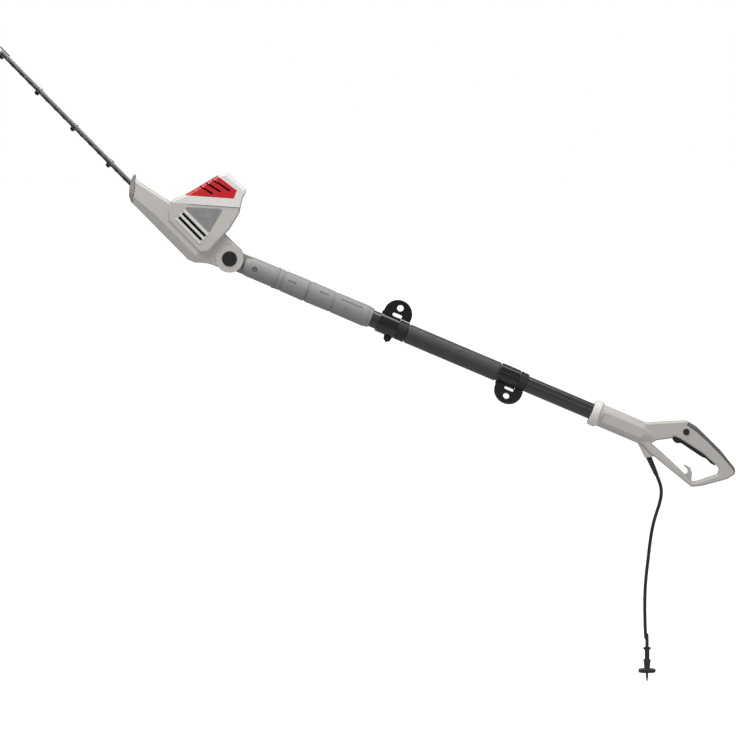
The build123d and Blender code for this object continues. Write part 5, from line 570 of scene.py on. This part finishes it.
def vent_shade_sheet(name, outline, spread):
    """A near-black sheet behind a vent, painted shade inside it: a pressed sheet with a raised rim and
    dimples like a weave.

    The outline is in the sheet's own plane, and spread(x, y, depth) gives the place of each point.
    """
    middle = sum((Vector(corner) for corner in outline), Vector((0, 0))) / len(outline)
    edge = []
    for corner, following in zip(outline, outline[1:] + outline[:1]):
        for step in range(24):
            edge.append(Vector(corner).lerp(Vector(following), step / 24))
    rings = 48
    mesh = bpy.data.meshes.new(name)
    form = bmesh.new()
    rims = []
    for face in (1, -1):
        loops = []
        for ring in range(1, rings + 1):
            loop = []
            for corner in edge:
                spot = middle.lerp(corner, ring / rings)
                dimple = 0.00012 * sin(spot.x * 2 * pi / 0.004) * sin(spot.y * 2 * pi / 0.004)
                rim = 0.0007 if ring >= rings - 1 else 0.0003
                loop.append(form.verts.new(spread(spot.x, spot.y, dimple + face * rim)))
            loops.append(loop)
        for inner, outer in zip(loops, loops[1:]):
            for index in range(len(edge)):
                after = (index + 1) % len(edge)
                form.faces.new((inner[index], inner[after], outer[after], outer[index]))
        form.faces.new(loops[0])
        rims.append(loops[-1])
    for index in range(len(edge)):
        after = (index + 1) % len(edge)
        form.faces.new((rims[0][index], rims[0][after], rims[1][after], rims[1][index]))
    bmesh.ops.recalc_face_normals(form, faces=form.faces)
    form.to_mesh(mesh)
    form.free()
    dark_sheet = bpy.data.objects.new(name, mesh)
    bpy.context.scene.collection.objects.link(dark_sheet)
    # Near-black sheet: painted shade inside the vent.
    mesh.materials.append(vent_shade_finish)
    mesh.shade_smooth()
    mesh.set_sharp_from_angle(angle=radians(40))
    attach(dark_sheet, "head")
    return dark_sheet


def in_head(at, across, level):
    """A place in the head: forward of the tilt axis, left or right of the middle, above the axis."""
    return tilt_axis + forward * at + upward * level + Vector((0, across, 0))


SHADE_SHEET_DEPTH = 0.0318        # distance of the side shade sheets from the middle of the head
SIDE_SHADE_SHEET = [
    (0.074, -0.0195), (0.158, -0.0195), (0.168, 0.020), (0.151, 0.090), (0.143, 0.110),
    (0.094, 0.110), (0.086, 0.098), (0.078, 0.066), (0.073, 0.010),
]
vent_shade_sheet("vent_shade_left", SIDE_SHADE_SHEET, lambda x, y, depth: in_head(x, depth - SHADE_SHEET_DEPTH, y))
vent_shade_sheet("vent_shade_right", SIDE_SHADE_SHEET, lambda x, y, depth: in_head(x, depth + SHADE_SHEET_DEPTH, y))

# The front shade sheet, painted shade for the front vents, stands behind the front wall of the cover,
# which leans back by a quarter.
FRONT_FOOT = 0.1665          # forward of the tilt axis, at the foot of the sheet
FRONT_LOW, FRONT_HIGH = 0.034, 0.112
FRONT_HALF_WIDTH = 0.0295
FRONT_SHADE_SHEET = [
    (-FRONT_HALF_WIDTH, FRONT_LOW), (FRONT_HALF_WIDTH, FRONT_LOW),
    (FRONT_HALF_WIDTH, FRONT_HIGH), (-FRONT_HALF_WIDTH, FRONT_HIGH),
]
vent_shade_sheet(
    "vent_shade_front", FRONT_SHADE_SHEET,
    lambda x, y, depth: in_head(FRONT_FOOT - (y - FRONT_LOW) / 4 + depth, x, y),
)

# ---- Smooth shading of the hard pieces ------------------------------------------------------
SHARP_ANGLE = radians(32)
for node_name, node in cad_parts.items():
    if not node.hide_render:
        node.data.set_sharp_from_angle(angle=SHARP_ANGLE)

# ---- Floor, light and camera ----------------------------------------------------------------
FLOOR_DROP = 0.06
FRAME_WIDTH = 1.693
VIEW_RISE = radians(4.0)
LENS = 300.0
SENSOR = 36.0
centre = Vector((-0.0745, 0.0, -0.1376))

floor_mesh = bpy.data.meshes.new("studio_floor")
form = bmesh.new()
bmesh.ops.create_grid(form, x_segments=24, y_segments=24, size=30.0)
for vertex in form.verts:
    vertex.co.z = cad_low.z - FLOOR_DROP
form.to_mesh(floor_mesh)
form.free()
floor = bpy.data.objects.new("studio_floor", floor_mesh)
bpy.context.scene.collection.objects.link(floor)
paper = Surface("studio_paper")
paper_tone = paper.mix(paper.noise(0.6, 2.0), (0.50, 0.50, 0.50), (0.54, 0.54, 0.54))
paper.done(paper_tone, paper.remap(paper.noise(3.0), 0.3, 0.7, 0.85, 0.95))
# The lens sees the paper as evenly lit white, so floor and backdrop meet without a line.
sight = paper.nodes.new("ShaderNodeLightPath")
paper.link(sight.outputs["Is Camera Ray"], paper.shader.inputs["Emission Strength"])
paper.shader.inputs["Emission Color"].default_value = (1, 1, 1, 1)
floor.data.materials.append(paper.material)


def area_light(name, place, size, power):
    lamp = bpy.data.lights.new(name, "AREA")
    lamp.shape = "RECTANGLE"
    lamp.size, lamp.size_y = size
    lamp.energy = power
    item = bpy.data.objects.new(name, lamp)
    item.location = place
    item.rotation_mode = "QUATERNION"
    item.rotation_quaternion = (centre - Vector(place)).to_track_quat("-Z", "Y")
    bpy.context.scene.collection.objects.link(item)


area_light("key_light", (-1.2, -2.4, 3.3), (1.6, 1.6), 78.0)
area_light("top_light", (0.2, -0.3, 2.9), (3.6, 1.2), 68.0)
area_light("fill_light", (2.2, -3.6, 0.5), (2.0, 2.0), 22.0)
area_light("rim_light", (-0.6, 3.0, 1.8), (2.4, 1.6), 16.0)

world = bpy.data.worlds.new("studio")
bpy.context.scene.world = world
world.use_nodes = True
background = world.node_tree.nodes["Background"]
background.inputs["Color"].default_value = (1, 1, 1, 1)
path = world.node_tree.nodes.new("ShaderNodeLightPath")
level = world.node_tree.nodes.new("ShaderNodeMapRange")
level.inputs["To Min"].default_value = 0.2
level.inputs["To Max"].default_value = 1.0
world.node_tree.links.new(path.outputs["Is Camera Ray"], level.inputs["Value"])
world.node_tree.links.new(level.outputs["Result"], background.inputs["Strength"])
bpy.context.scene.view_settings.view_transform = "Standard"

lens = bpy.data.cameras.new("camera")
lens.sensor_width = SENSOR
lens.lens = LENS
lens.clip_start = 0.05
lens.clip_end = 200.0
camera = bpy.data.objects.new("camera", lens)
back = Vector((0, -cos(VIEW_RISE), sin(VIEW_RISE)))
camera.location = centre + back * (FRAME_WIDTH * LENS / SENSOR)
camera.rotation_mode = "QUATERNION"
camera.rotation_quaternion = (-back).to_track_quat("-Z", "Y")
bpy.context.scene.collection.objects.link(camera)
bpy.context.scene.camera = camera
